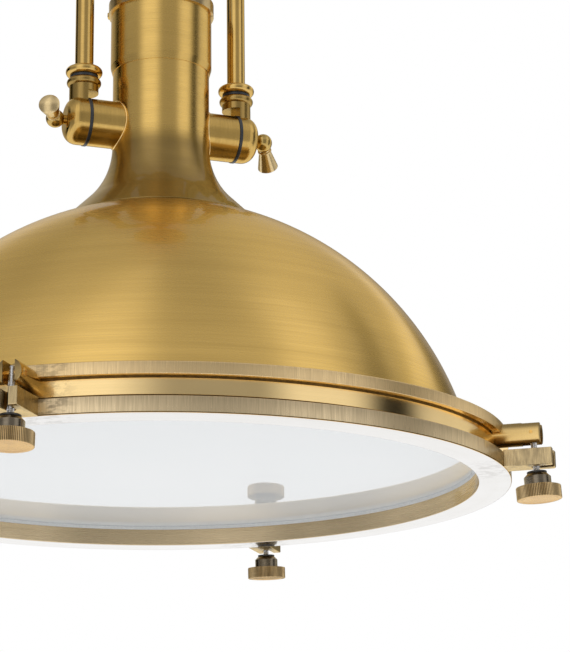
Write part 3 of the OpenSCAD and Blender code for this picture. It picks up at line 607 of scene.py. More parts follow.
def nut_steel(graph, look):
    """The thumb nut's turned shank and chamfer: dark brownish steel."""
    marks = lathe_marks(graph, 4200)
    brass(graph, marks, look, (0.3, 0.245, 0.17), (0.11, 0.088, 0.062), 0.2, 0.12, 0.2, 0.5, coat=0.5)


def steel(graph, look, light, dark, rough):
    """Plated steel with fine grain."""
    grain = graph.noise(graph.object_point(), 1400.0, 3.0, 0.6).smooth(0.3, 0.7)
    graph.surface(
        "ShaderNodeBsdfPrincipled",
        Base_Color=graph.mix(grain, dark, light),
        Metallic=1.0,
        Roughness=rough + grain * 0.12,
        Normal=graph.bump(grain, 0.15, 0.02 * MM),
    )


def bright_steel(graph, look):
    steel(graph, look, (0.84, 0.84, 0.85), (0.64, 0.64, 0.65), 0.2)


def dark_steel(graph, look):
    steel(graph, look, (0.12, 0.115, 0.11), (0.05, 0.05, 0.05), 0.35)


def contact_brass(graph, look):
    steel(graph, look, (0.85, 0.66, 0.32), (0.62, 0.46, 0.2), 0.2)


def soft_polymer(graph, light, dark, rough, scale, bump):
    """Rubber, silicone or moulded plastic with a fine matte grain."""
    grain = graph.noise(graph.object_point(), scale, 3.0, 0.55).smooth(0.3, 0.7)
    graph.surface(
        "ShaderNodeBsdfPrincipled",
        Base_Color=graph.mix(grain, dark, light),
        Roughness=rough + grain * 0.1,
        Normal=graph.bump(grain, bump, 0.03 * MM),
    )


def black_rubber(graph, look):
    soft_polymer(graph, (0.032, 0.036, 0.043), (0.013, 0.015, 0.02), 0.32, 1500.0, 0.15)


def white_seal(graph, look):
    soft_polymer(graph, (0.8, 0.81, 0.81), (0.72, 0.73, 0.735), 0.5, 900.0, 0.15)


def white_plastic(graph, look):
    soft_polymer(graph, (0.78, 0.77, 0.72), (0.7, 0.69, 0.64), 0.4, 1200.0, 0.15)


def white_ceramic(graph, look):
    grain = graph.noise(graph.object_point(), 260.0, 3.0, 0.5).smooth(0.3, 0.7)
    graph.surface(
        "ShaderNodeBsdfPrincipled",
        Base_Color=graph.mix(grain, (0.82, 0.8, 0.75), (0.88, 0.87, 0.83)),
        Roughness=0.22 + grain * 0.06,
        Coat_Weight=0.5,
        Coat_Roughness=0.05,
        Normal=graph.bump(grain, 0.08, 0.05 * MM),
    )


def frosted_glass(graph, look):
    """Glass that is frosted on its back and glossy on its face."""
    frost = graph.noise(graph.object_point(), 700.0, 3.0, 0.6).smooth(0.3, 0.7)
    haze = graph.noise(graph.object_point(), 9.0, 2.0, 0.5).smooth(0.3, 0.7)
    graph.surface(
        "ShaderNodeBsdfPrincipled",
        Base_Color=graph.mix(haze, look.glass_tint, (0.88, 0.91, 0.93)),
        Roughness=0.4 + frost * 0.08,
        Coat_Weight=1.0,
        Coat_Roughness=0.015,
        Coat_IOR=1.52,
    )


def enamelled_brass(graph, look):
    """Spun brass outside and white enamel inside: the point's distance from the dome's centre tells which."""
    x, y, z = graph.split(graph.object_point())
    radius, centre = dome_sphere()
    rise = z - centre
    depth = (x * x + y * y + rise * rise).root()
    outside = depth.smooth(radius - 1.2 * MM, radius - 0.9 * MM)
    marks = lathe_marks(graph, 3000)
    cloud = patina(graph, 9.0)
    metal = graph.mix(marks * 0.6 + cloud * 0.4, look.olive, look.gold)
    # Painted shade: darker round the crown, near the foot of the neck's flare.
    toned = (1 - (x * x + y * y).root().smooth(68 * MM, 120 * MM)) * 0.35
    metal = graph.mix(toned, metal, look.tarnish_and_shade)
    speckle = graph.noise(graph.object_point(), 500.0, 2.0, 0.5)
    enamel = graph.mix(speckle, (0.8, 0.8, 0.78), (0.86, 0.86, 0.84))
    graph.surface(
        "ShaderNodeBsdfPrincipled",
        Base_Color=graph.mix(outside, enamel, metal),
        Metallic=outside,
        Roughness=(0.23 + (1 - marks) * 0.08) * outside + (1 - outside) * 0.35,
        Anisotropic=0.7,
        Anisotropic_Rotation=0.25,
        Specular_Tint=(1.0, 0.84, 0.5),
        Coat_Weight=outside * 0.3,
        Coat_Roughness=look.lacquer_roughness,
        Normal=graph.bump(marks * outside, 0.22, 0.02 * MM),
    )


dict.fromkeys(("lever_brass", "handle_brass", "orange_line"), "polished_brass")
dict.fromkeys(("flange_brass", "band_brass", "block_brass", "bar_brass", "swivel_brass"), "rim_brass")
FINISH_MAKERS = {
    "spun_brass": spun_brass,
    "dome_brass": enamelled_brass,
    "rim_brass": rim_brass,
    "flange_brass": flange_brass,
    "band_brass": band_brass,
    "level_brass": level_brass,
    "inner_brass": inner_brass,
    "painted_shade_line": painted_shade_line,
    "orange_line": orange_line,
    "bar_brass": bar_brass,
    "swivel_brass": swivel_brass,
    "lever_brass": lever_brass,
    "handle_brass": handle_brass,
    "nut_steel": nut_steel,
    "nut_face": nut_face,
    "tube_brass": tube_brass,
    "block_brass": block_brass,
    "polished_brass": polished_brass,
    "knurled_brass": knurled_brass,
    "bright_steel": bright_steel,
    "dark_steel": dark_steel,
    "contact_brass": contact_brass,
    "black_rubber": black_rubber,
    "white_seal": white_seal,
    "white_plastic": white_plastic,
    "white_ceramic": white_ceramic,
    "frosted_glass": frosted_glass,
}


def dome_sphere():
    """Radius and centre height of the dome's sphere, from its foot and the edge of its flat crown."""
    foot, crown = low("dome").z, high("dome").z
    reach, flat = high("dome").x, bpy.context.scene.lamp_sizes.crown_flat
    centre = ((crown**2 + flat**2) - (foot**2 + reach**2)) / (2 * (crown - foot))
    return math.hypot(reach, foot - centre), centre


def brass_length(name, default, text):
    """A length in metres that a user may change."""
    return bpy.props.FloatProperty(
        name=name, description=text, default=default, min=0.0, subtype="DISTANCE", unit="LENGTH", precision=5
    )


def tone(name, default, text):
    """A colour that a user may change."""
    return bpy.props.FloatVectorProperty(
        name=name, description=text, default=default, size=3, min=0.0, max=1.0, subtype="COLOR"
    )


class LampSizes(bpy.types.PropertyGroup):
    """Sizes of what is drawn on the frame."""

    edge: brass_length("Edge", 0.35 * MM, "Radius of the turned edges")
    crown_flat: brass_length("Crown flat", 57 * MM, "Radius of the dome's flat crown")
    dome_wall: brass_length("Dome wall", 1.5 * MM, "Wall of the dome")
    dome_hole: brass_length("Dome hole", 36 * MM, "Radius of the hole in the dome's crown")
    neck: brass_length("Neck", 31.7 * MM, "Radius of the neck")
    neck_wall: brass_length("Neck wall", 1.8 * MM, "Wall of the neck")
    flare: brass_length("Flare", 55 * MM, "Radius of the flare's curve")
    flare_rise: brass_length("Flare rise", 12 * MM, "From the flare's top up to the tilt axis")
    tube_wall: brass_length("Tube wall", 1.2 * MM, "Wall of the rods")
    thread_pitch: brass_length("Thread pitch", 0.7 * MM, "Pitch of the swing bolts' thread")
    thread_depth: brass_length("Thread depth", 0.43 * MM, "Depth of the swing bolts' thread")
    ridge: brass_length("Ridge", 0.38 * MM, "Depth of the thumb nuts' ridges")
    ridges: bpy.props.IntProperty(name="Ridges", description="Ridges round a thumb nut", default=84, min=12)


class LampFinish(bpy.types.PropertyGroup):
    """Colours of the metals and the glass."""

    gold: tone("Gold", GOLD, "Bright tone of the brass")
    olive: tone("Olive", OLIVE, "Dark tone of the brass")
    pale: tone("Pale", PALE, "Bright tone of the polished and knurled brass")
    umber: tone("Umber", UMBER, "Dark tone of the knurled brass")
    # This colour serves real stains and also painted shade.
    tarnish_and_shade: tone("Tarnish", (0.11, 0.08, 0.045), "Stains beside the clamps and pits in the milled brass")
    glass_tint: tone("Glass", (0.86, 0.9, 0.92), "Tint of the frosted glass")
    lacquer_roughness: bpy.props.FloatProperty(
        name="Lacquer roughness", description="Roughness of the clear lacquer", default=0.04, min=0.0, max=1.0
    )


class LampView(bpy.types.PropertyGroup):
    """Where the camera stands, and how bright the studio is."""

    distance: brass_length("Distance", 1.3202, "From the camera to the lamp's axis, along the floor")
    drop: brass_length("Drop", 0.2571, "Camera's height below the rim's underside")
    azimuth: bpy.props.FloatProperty(
        name="Azimuth", description="Turn of the camera about the lamp", default=math.radians(-17.18), subtype="ANGLE"
    )
    pan: bpy.props.FloatProperty(
        name="Pan", description="Turn of the camera to the right", default=math.radians(3.4748), subtype="ANGLE"
    )
    pitch: bpy.props.FloatProperty(
        name="Pitch", description="Upward tilt of the camera", default=math.radians(15.449), subtype="ANGLE"
    )
    roll: bpy.props.FloatProperty(
        name="Roll", description="Roll of the camera", default=math.radians(-0.6864), subtype="ANGLE"
    )
    lens: bpy.props.FloatProperty(name="Lens", description="Focal length in millimetres", default=117.89, min=1.0)
    dim: bpy.props.FloatProperty(name="Fill", description="Brightness between the soft boxes", default=0.38, min=0.0)
    floor: brass_length("Floor", 0.75, "Height of the lamp's rim above the floor")


class LampOperator:
    """What the operators share."""

    bl_options = {"REGISTER", "UNDO"}

    def execute(self, context):
        self.make(context.scene.lamp_sizes)
        return {"FINISHED"}


class LAMP_OT_ceiling(LampOperator, bpy.types.Operator):
    """Builds the ceiling cup with its strap, screws, terminal block and hollow threaded tube"""

    bl_idname = "lamp.ceiling"
    bl_label = "Ceiling cup"

    def make(self, sizes):
        outer, bottom, top = high("canopy").x, low("canopy").z, high("canopy").z
        wall, edge, hole = 1.2 * MM, 12 * MM, high("canopy_nipple").x
        outside = np.vstack([[(hole, bottom)], arc((outer - edge, bottom + edge), edge, -90, 0, 24)])
        inside = arc((outer - edge, bottom + edge), edge - wall, 0, -90, 24)
        rim = arc((outer - wall / 2, top - wall / 2), wall / 2, 0, 180, 10)
        outline = np.vstack([outside, rim, inside, [(hole, bottom + wall)]])
        put(revolve("ceiling_cup", outline, 256), "yoke", "spun_brass", "canopy")
        put(dress("ceiling_bracket", "ceiling_strap"), "yoke", "bright_steel", "ceiling_strap")
        put(dress("cup_screws", "canopy_screws"), "yoke", "polished_brass", "canopy_screws")
        put(dress("wire_terminals", "terminal_block"), "yoke", "white_plastic", "terminal_block")
        put(dress("cup_tube_nut", "nipple_nut"), "yoke", "bright_steel", "nipple_nut")
        tube = ring(hole, hole - 1 * MM, low("canopy_nipple").z, high("canopy_nipple").z, 0.2 * MM)
        put(revolve("cup_tube", tube, 64), "yoke", "bright_steel", "canopy_nipple")


class LAMP_OT_stem(LampOperator, bpy.types.Operator):
    """Builds the stem tube and the screwed rings at its ends"""

    bl_idname = "lamp.stem"
    bl_label = "Stem"

    def make(self, sizes):
        outer, bottom, top = high("stem_tube").x, low("stem_tube").z, high("stem_tube").z
        tube = ring(outer, outer - 2 * MM, bottom, top, 0.2 * MM)
        put(revolve("stem", tube, 96), "yoke", "tube_brass", "stem_tube")
        put(dress("stem_end_rings", "stem_rings", 0), "yoke", "tube_brass", "stem_rings")


class LAMP_OT_yoke(LampOperator, bpy.types.Operator):
    """Builds the yoke: hub, crossbar, elbows, rods, locking rings and the seals below them"""

    bl_idname = "lamp.yoke"
    bl_label = "Yoke"

    def make(self, sizes):
        put(dress("hub", "yoke_hub"), "yoke", "block_brass", "yoke_hub")
        put(dress("cross_tubes", "crossbar", 0), "yoke", "block_brass", "crossbar")
        for side, sign in SIDES.items():
            put(dress(f"{side}_corner", f"{side}_elbow"), "yoke", "block_brass", f"{side}_elbow")
            lowest, highest = low(f"{side}_rod"), high(f"{side}_rod")
            radius, x = (highest.x - lowest.x) / 2, (highest.x + lowest.x) / 2
            tube = ring(radius, radius - sizes.tube_wall, lowest.z, highest.z, 0.2 * MM)
            put(revolve(f"{side}_tube", tube, 96, upright(x)), "yoke", "tube_brass", f"{side}_rod")
            lowest, highest = low(f"{side}_lock_ring"), high(f"{side}_lock_ring")
            outline = bead((highest.x - lowest.x) / 2, radius, lowest.z, highest.z)
            piece = revolve(f"{side}_locking_ring", outline, 128, upright(x))
            put(piece, "yoke", "tube_brass", f"{side}_lock_ring")
        put(dress("sealing_rings", "rod_seals"), "yoke", "black_rubber", "rod_seals")


class LAMP_OT_swivels(LampOperator, bpy.types.Operator):
    """Builds the tilt joint: swivel caps, gaskets, barrels and the beads brazed round them"""

    bl_idname = "lamp.swivels"
    bl_label = "Tilt joint"

    def make(self, sizes):
        for side, sign in SIDES.items():
            piece = dress(f"{side}_swivel", f"{side}_swivel_cap", 0.3 * MM, 3)
            put(piece, "yoke", "swivel_brass", f"{side}_swivel_cap")
            put(dress(f"{side}_stub", f"{side}_barrel"), "shade", "swivel_brass", f"{side}_barrel")
            put(self.brazing(side, sign, sizes), "shade", "band_brass")
        put(dress("gasket_rings", "tilt_gaskets", 0.3 * MM, 3), "yoke", "black_rubber", "tilt_gaskets")

    def brazing(self, side, sign, sizes):
        """A thin bead where barrel and neck meet.

        Its centreline is y = b sin t, z = b cos t, x = root(n squared - y squared), for barrel b and neck n.
        """
        barrel = (high(f"{side}_barrel").y - low(f"{side}_barrel").y) / 2
        t = np.arange(180) * TURN / 180
        y, z = barrel * np.sin(t), barrel * np.cos(t)
        x = np.sqrt(sizes.neck**2 - y**2)
        centre = np.stack([sign * x, y, z + PIVOT.z], 1)
        out = np.stack([sign * x / sizes.neck, y / sizes.neck, 0 * t], 1)
        away = np.stack([0 * t, np.sin(t), np.cos(t)], 1)
        a = np.arange(12) * TURN / 12
        width = 0.75 * MM
        points = centre[:, None] + width * (
            np.cos(a)[None, :, None] * out[:, None] + np.sin(a)[None, :, None] * away[:, None]
        )
        return surface(f"{side}_brazing", points)


class LAMP_OT_neck(LampOperator, bpy.types.Operator):
    """Builds the flared neck, its sleeve, the crowned cap with its screws, and the cable gland"""

    bl_idname = "lamp.neck"
    bl_label = "Neck"

    def make(self, sizes):
        put(revolve("flared_neck", self.flare(sizes), 256), "shade", "spun_brass", "neck")
        outer, bottom, top = high("neck_sleeve").x, low("neck_sleeve").z, high("neck_sleeve").z
        chamfer = 4.7 * MM
        corners = [
            (sizes.neck, bottom), (sizes.neck + 0.3 * MM, bottom), (outer, bottom + chamfer), (outer, top),
            (sizes.neck, top),
        ]
        outline = rounded(corners, [0, 0.12 * MM, 1.2 * MM, 0.2 * MM, 0], 8)
        put(revolve("sleeve", outline, 256), "shade", "spun_brass", "neck_sleeve")
        put(dress("crown_cap", "neck_cap"), "shade", "block_brass", "neck_cap")
        put(dress("crown_cap_screws", "cap_screws"), "shade", "polished_brass", "cap_screws")
        put(dress("gland_body", "cable_gland"), "shade", "polished_brass", "cable_gland")
        put(dress("gland_cap", "gland_nut"), "shade", "polished_brass", "gland_nut")

    def flare(self, sizes):
        """The neck's outline: a straight tube, an arc of the flare's radius, and a straight flank to the foot."""
        seat, bottom, top = high("neck").x, low("neck").z, high("neck").z
        radius, centre = dome_sphere()
        start = PIVOT.z - sizes.flare_rise
        turn, lip = 46.0, 1.1 * MM
        curve = arc((sizes.neck + sizes.flare, start), sizes.flare, 180, 180 + turn, 48)
        inner = arc((sizes.neck + sizes.flare, start), sizes.flare + sizes.neck_wall, 180 + turn, 180, 48)
        foot = centre + math.sqrt(radius**2 - seat**2)
        edge = arc((seat - lip / 2, foot + lip / 2), lip / 2, 45, -60, 12)
        thin = sizes.neck_wall / math.cos(math.radians(turn))
        within = seat - thin
        foot_inside = centre + math.sqrt(radius**2 - within**2)
        return np.vstack([
            [(sizes.neck, top)], curve, edge, [(within, foot_inside)], inner,
            [(sizes.neck - sizes.neck_wall, top)],
        ])


class LAMP_OT_dome(LampOperator, bpy.types.Operator):
    """Builds the spun dome and the plates and screws that hold it to the neck"""

    bl_idname = "lamp.dome"
    bl_label = "Dome"

    def make(self, sizes):
        radius, centre = dome_sphere()
        foot, crown = low("dome").z, high("dome").z
        wall = sizes.dome_wall
        start = math.degrees(math.asin((foot - centre) / radius))
        stop = math.degrees(math.asin((crown - centre) / radius))
        start_inside = math.degrees(math.asin((foot - centre) / (radius - wall)))
        stop_inside = math.degrees(math.asin((crown - wall - centre) / (radius - wall)))
        outline = np.vstack([
            arc((0, centre), radius, start, stop, 140), [(sizes.dome_hole, crown), (sizes.dome_hole, crown - wall)],
            arc((0, centre), radius - wall, stop_inside, start_inside, 140),
        ])
        put(revolve("spun_dome", outline, 384), "shade", "dome_brass", "dome")
        put(dress("upper_plate", "neck_plate"), "shade", "bright_steel", "neck_plate")
        put(dress("lower_plate", "dome_plate"), "shade", "bright_steel", "dome_plate")
        put(dress("crown_screws", "plate_screws"), "shade", "bright_steel", "plate_screws")


class LAMP_OT_rim(LampOperator, bpy.types.Operator):
    """Builds the rim: flange, recessed band and glass ring, brushed across on their outer faces"""

    bl_idname = "lamp.rim"
    bl_label = "Rim"

    def make(self, sizes):
        outer, bottom, top = high("rim_flange").x, low("rim_flange").z, high("rim_flange").z
        foot, shelf = high("dome").x, low("dome").z
        inner = along("rim_flange", (0, 0, 0), (0, 0, 1))[2]
        lips = points_of("rim_flange")
        within = np.hypot(lips[:, 0], lips[:, 1]).min()
        raised = lips[lips[:, 2] > top - 0.5 * MM]
        spread = np.hypot(raised[:, 0], raised[:, 1])
        e = sizes.edge
        corners = [
            (within, bottom), (inner, bottom), (inner, shelf), (spread.max(), shelf), (spread.max(), top),
            (spread.min(), top), (spread.min(), shelf), (within, shelf),
        ]
        outline = rounded(corners, [e, 0.5 * MM, 0.8 * MM, 0, e, e, 0, e], 8)
        piece = put(revolve("flange", outline, 480), "shade", "flange_brass", "rim_flange")
        self.part_faces(piece, {"band_brass": lambda r, z, out, up: out < 0.6})

        outer, bottom, top = high("rim_band").x, low("rim_band").z, high("rim_band").z
        band = points_of("rim_band")
        within = np.hypot(band[:, 0], band[:, 1]).min()
        groove = outer - 0.5 * MM
        lower, upper = bottom + 2.1 * MM, top - 0.9 * MM
        corners = [
            (within, bottom), (groove, bottom), (groove, lower), (outer, lower), (outer, upper), (groove, upper),
            (groove, top), (within, top),
        ]
        outline = rounded(corners, [0, 0, 0, 0.25 * MM, 0.25 * MM, 0, 0, 0], 6)
        piece = put(revolve("recessed_band", outline, 480), "shade", "band_brass", "rim_band")
        # The band's grooves get painted shade.
        self.part_faces(piece, {"painted_shade_line": lambda r, z, out, up: r < outer - 0.3 * MM})

        edge = points_of("glass_ring")
        spread = np.hypot(edge[:, 0], edge[:, 1])
        outer, within = spread.max(), spread.min()
        bottom, lip = low("glass_ring").z, high("glass_ring").z
        shoulder = low("rim_band").z
        wall = spread[edge[:, 2] > lip - 0.5 * MM].max()
        corners = [
            (within, bottom), (outer, bottom), (outer, shoulder), (wall, shoulder), (wall, lip), (within, lip),
        ]
        outline = rounded(corners, [0.7 * MM, 0.8 * MM, 0.5 * MM, 0, 0.3 * MM, 0.3 * MM], 12)
        piece = put(revolve("clamped_ring", outline, 480), "shade", "rim_brass", "glass_ring")
        self.part_faces(piece, {
            "level_brass": lambda r, z, out, up: up < -0.2,
            # Painted orange glint on the ring's lower rounded edge.
            "orange_line": lambda r, z, out, up: (out > 0.4) & (up < -0.2),
            # Painted shade along the ring's lower outer edge.
            "painted_shade_line": lambda r, z, out, up: (out > 0.7) & (up < -0.1),
            "inner_brass": lambda r, z, out, up: out < -0.6,
        })

    def part_faces(self, piece, looks):
        """Gives faces their own finishes, by radius, height, and how far they look outwards and upwards."""
        mesh = piece.data
        normals = np.zeros(len(mesh.polygons) * 3, np.float32)
        centres = np.zeros(len(mesh.polygons) * 3, np.float32)
        mesh.polygons.foreach_get("normal", normals)
        mesh.polygons.foreach_get("center", centres)
        normals, centres = normals.reshape(-1, 3), centres.reshape(-1, 3)
        radius = np.hypot(centres[:, 0], centres[:, 1])
        outward = (normals[:, :2] * centres[:, :2]).sum(1) / radius
        index = np.zeros(len(mesh.polygons), np.int32)
        for number, (look, chosen) in enumerate(looks.items(), 1):
            mesh.materials.append(finish(look))
            index[chosen(radius, centres[:, 2], outward, normals[:, 2])] = number
        mesh.polygons.foreach_set("material_index", index)


class LAMP_OT_glass(LampOperator, bpy.types.Operator):
    """Builds the pane of glass and the white seal that grips its edge"""

    bl_idname = "lamp.glass"
    bl_label = "Glass"

    def make(self, sizes):
        outer, bottom, top = high("glass").x, low("glass").z, high("glass").z
        corners = [(0, bottom), (outer, bottom), (outer, top), (0, top)]
        outline = rounded(corners, [0, 0.8 * MM, 0.8 * MM, 0], 6)
        put(revolve("pane", outline, 256), "shade", "frosted_glass", "glass")
        put(dress("pane_seal", "glass_seal"), "shade", "white_seal", "glass_seal")


class LAMP_OT_clamps(LampOperator, bpy.types.Operator):
    """Builds the fixed halves of the rim clamps: clevis bars, their pins and the forks on the glass ring"""

    bl_idname = "lamp.clamps"
    bl_label = "Rim clamps"

    def make(self, sizes):
        put(dress("clevises", "clevis_bars", 0.3 * MM, 3), "shade", "bar_brass", "clevis_bars")
        put(dress("hinge_pins", "clevis_pins", 0.12 * MM), "shade", "orange_line", "clevis_pins")
        put(dress("forks", "ring_forks", 0.3 * MM, 3), "shade", "block_brass", "ring_forks")


class LAMP_OT_swing_bolts(LampOperator, bpy.types.Operator):
    """Builds the threaded swing bolts and their dark washers"""

    bl_idname = "lamp.swing_bolts"
    bl_label = "Swing bolts"

    def make(self, sizes):
        for k in CLAMPS:
            place = bolt_place(k)
            up = JOINTS[f"washer_{k}_slide"]["axis"]
            bottom, top, radius = along(f"swing_bolt_{k}", place.translation, up)
            piece = self.threaded_rod(f"bolt_{k}_rod", sizes, bottom, top, radius, place)
            put(piece, f"bolt_{k}", "bright_steel", f"swing_bolt_{k}")
            under, over, outer = along(f"washer_{k}", place.translation, up)
            outline = ring(outer, radius + 0.05 * MM, under, over, 0.2 * MM, 5)
            piece = revolve(f"nut_{k}_washer", outline, 96, place)
            put(piece, f"washer_{k}", "dark_steel", f"washer_{k}")

    def threaded_rod(self, name, sizes, bottom, top, radius, place):
        """A threaded rod: at angle a and height z its radius is r - depth * |2 frac(z / pitch - a / turn) - 1|.

        A chamfer limits the radius near both ends, which close on the axis.
        """
        per_turn = 10
        rows = int((top - bottom) / sizes.thread_pitch * per_turn)
        a = np.arange(36) * TURN / 36
        z = np.linspace(bottom, top, rows)
        phase = z[None, :] / sizes.thread_pitch - a[:, None] / TURN
        saw = np.abs(2 * (phase - np.floor(phase)) - 1)
        r = radius - sizes.thread_depth * np.clip(1.25 * saw - 0.1, 0, 1)
        from_end = np.minimum(z - bottom, top - z)
        r = np.minimum(r, radius - 0.7 * MM + from_end[None, :])
        points = np.stack([r * np.cos(a)[:, None], r * np.sin(a)[:, None], np.repeat(z[None], len(a), 0)], -1)
        ends = np.zeros((len(a), 1, 3))
        first, last = ends + [0, 0, bottom], ends + [0, 0, top]
        return surface(name, np.concatenate([first, points, last], 1), (True, False), place)


class LAMP_OT_thumb_nuts(LampOperator, bpy.types.Operator):
    """Builds the thumb nuts: a plain chamfered shank over a disc with straight ridges"""

    bl_idname = "lamp.thumb_nuts"
    bl_label = "Thumb nuts"

    def make(self, sizes):
        for k in CLAMPS:
            place = bolt_place(k)
            up = JOINTS[f"washer_{k}_slide"]["axis"]
            bottom, top, radius = along(f"thumb_nut_{k}", place.translation, up)
            shank, chamfer, disc = 8.1 * MM, 2.4 * MM, 7.8 * MM
            bore, hole = 2.05 * MM, 12 * MM
            inner = radius - 2.2 * MM
            corners = [
                (0, bottom + 0.25 * MM), (inner - 1 * MM, bottom + 0.25 * MM), (inner, bottom),
                (radius, bottom), (radius, bottom + disc), (shank, bottom + disc), (shank, top - chamfer),
                (shank - chamfer, top), (bore, top), (bore, top - hole), (0, top - hole),
            ]
            e = 0.3 * MM
            soft = [0, e, e, 0.35 * MM, 0.35 * MM, 0.2 * MM, 0.4 * MM, e, 0.1 * MM, 0, 0]
            outline = rounded(corners, soft, 6)
            limit = radius - 0.6 * MM

            def ripple(angle, r, z):
                """Straight ridges: a triangle wave round the disc's edge, fading where the edge rounds off."""
                wave = np.abs(2 * ((angle * sizes.ridges / TURN) % 1) - 1)
                return -sizes.ridge * wave * np.clip((r - limit) / (radius - limit), 0, 1)

            piece = revolve(f"nut_{k}_body", outline, sizes.ridges * 6, place, ripple)
            put(piece, f"nut_{k}", "knurled_brass", f"thumb_nut_{k}")
            piece.data.materials.append(finish("nut_steel"))
            piece.data.materials.append(finish("nut_face"))
            back = place.inverted()
            for face in piece.data.polygons:
                centre = back @ face.center
                if centre.z > bottom + disc + 0.1 * MM:
                    face.material_index = 1
                elif centre.z < bottom + 0.3 * MM and centre.xy.length < radius - 0.6 * MM:
                    face.material_index = 2


class LAMP_OT_levers(LampOperator, bpy.types.Operator):
    """Builds the tilt clamps' levers: ball, collar and a tapered handle with a crowned end"""

    bl_idname = "lamp.levers"
    bl_label = "Levers"

    def make(self, sizes):
        for side, sign in SIDES.items():
            ball = Vector(JOINTS[f"{side}_clamp_turn"]["pos_m"])
            middle = Vector(points_of(f"{side}_handle").mean(0))
            axis = (middle - ball).normalized()
            put(dress(f"{side}_ball", f"{side}_lever", 0.2 * MM), f"{side}_lever", "lever_brass", f"{side}_lever")
            start, end, radius = along(f"{side}_handle", ball, axis)
            collar, root = 4.6 * MM, 3.9 * MM
            corners = [
                (0, start), (root, start), (root, start + 1.2 * MM), (collar, start + 1.2 * MM),
                (collar, start + 2.2 * MM), (root, start + 2.2 * MM), (radius, end - 2.2 * MM),
            ]
            lead = rounded(corners, [0, 0, 0, 0.35 * MM, 0.35 * MM, 0.2 * MM, 0], 6)
            crown = 2.2 * MM
            sphere = (radius**2 + crown**2) / (2 * crown)
            sweep = math.degrees(math.asin(radius / sphere))
            cap = arc((0, end - sphere), sphere, 90 - sweep, 90, 20)
            outline = np.vstack([lead, cap])
            piece = revolve(f"{side}_grip", outline, 128, facing(ball, axis))
            put(piece, f"{side}_lever", "handle_brass", f"{side}_handle")


class LAMP_OT_holder(LampOperator, bpy.types.Operator):
    """Builds the lamp holder inside the neck"""

    bl_idname = "lamp.holder"
    bl_label = "Lamp holder"

    def make(self, sizes):
        put(dress("holder_stem", "holder_tube"), "shade", "bright_steel", "holder_tube")
        put(dress("insulator", "holder_body", 0.5 * MM, 3), "shade", "white_ceramic", "holder_body")
        put(dress("socket_shell", "holder_shell"), "shade", "contact_brass", "holder_shell")
        put(dress("centre_contact", "holder_contact"), "shade", "contact_brass", "holder_contact")


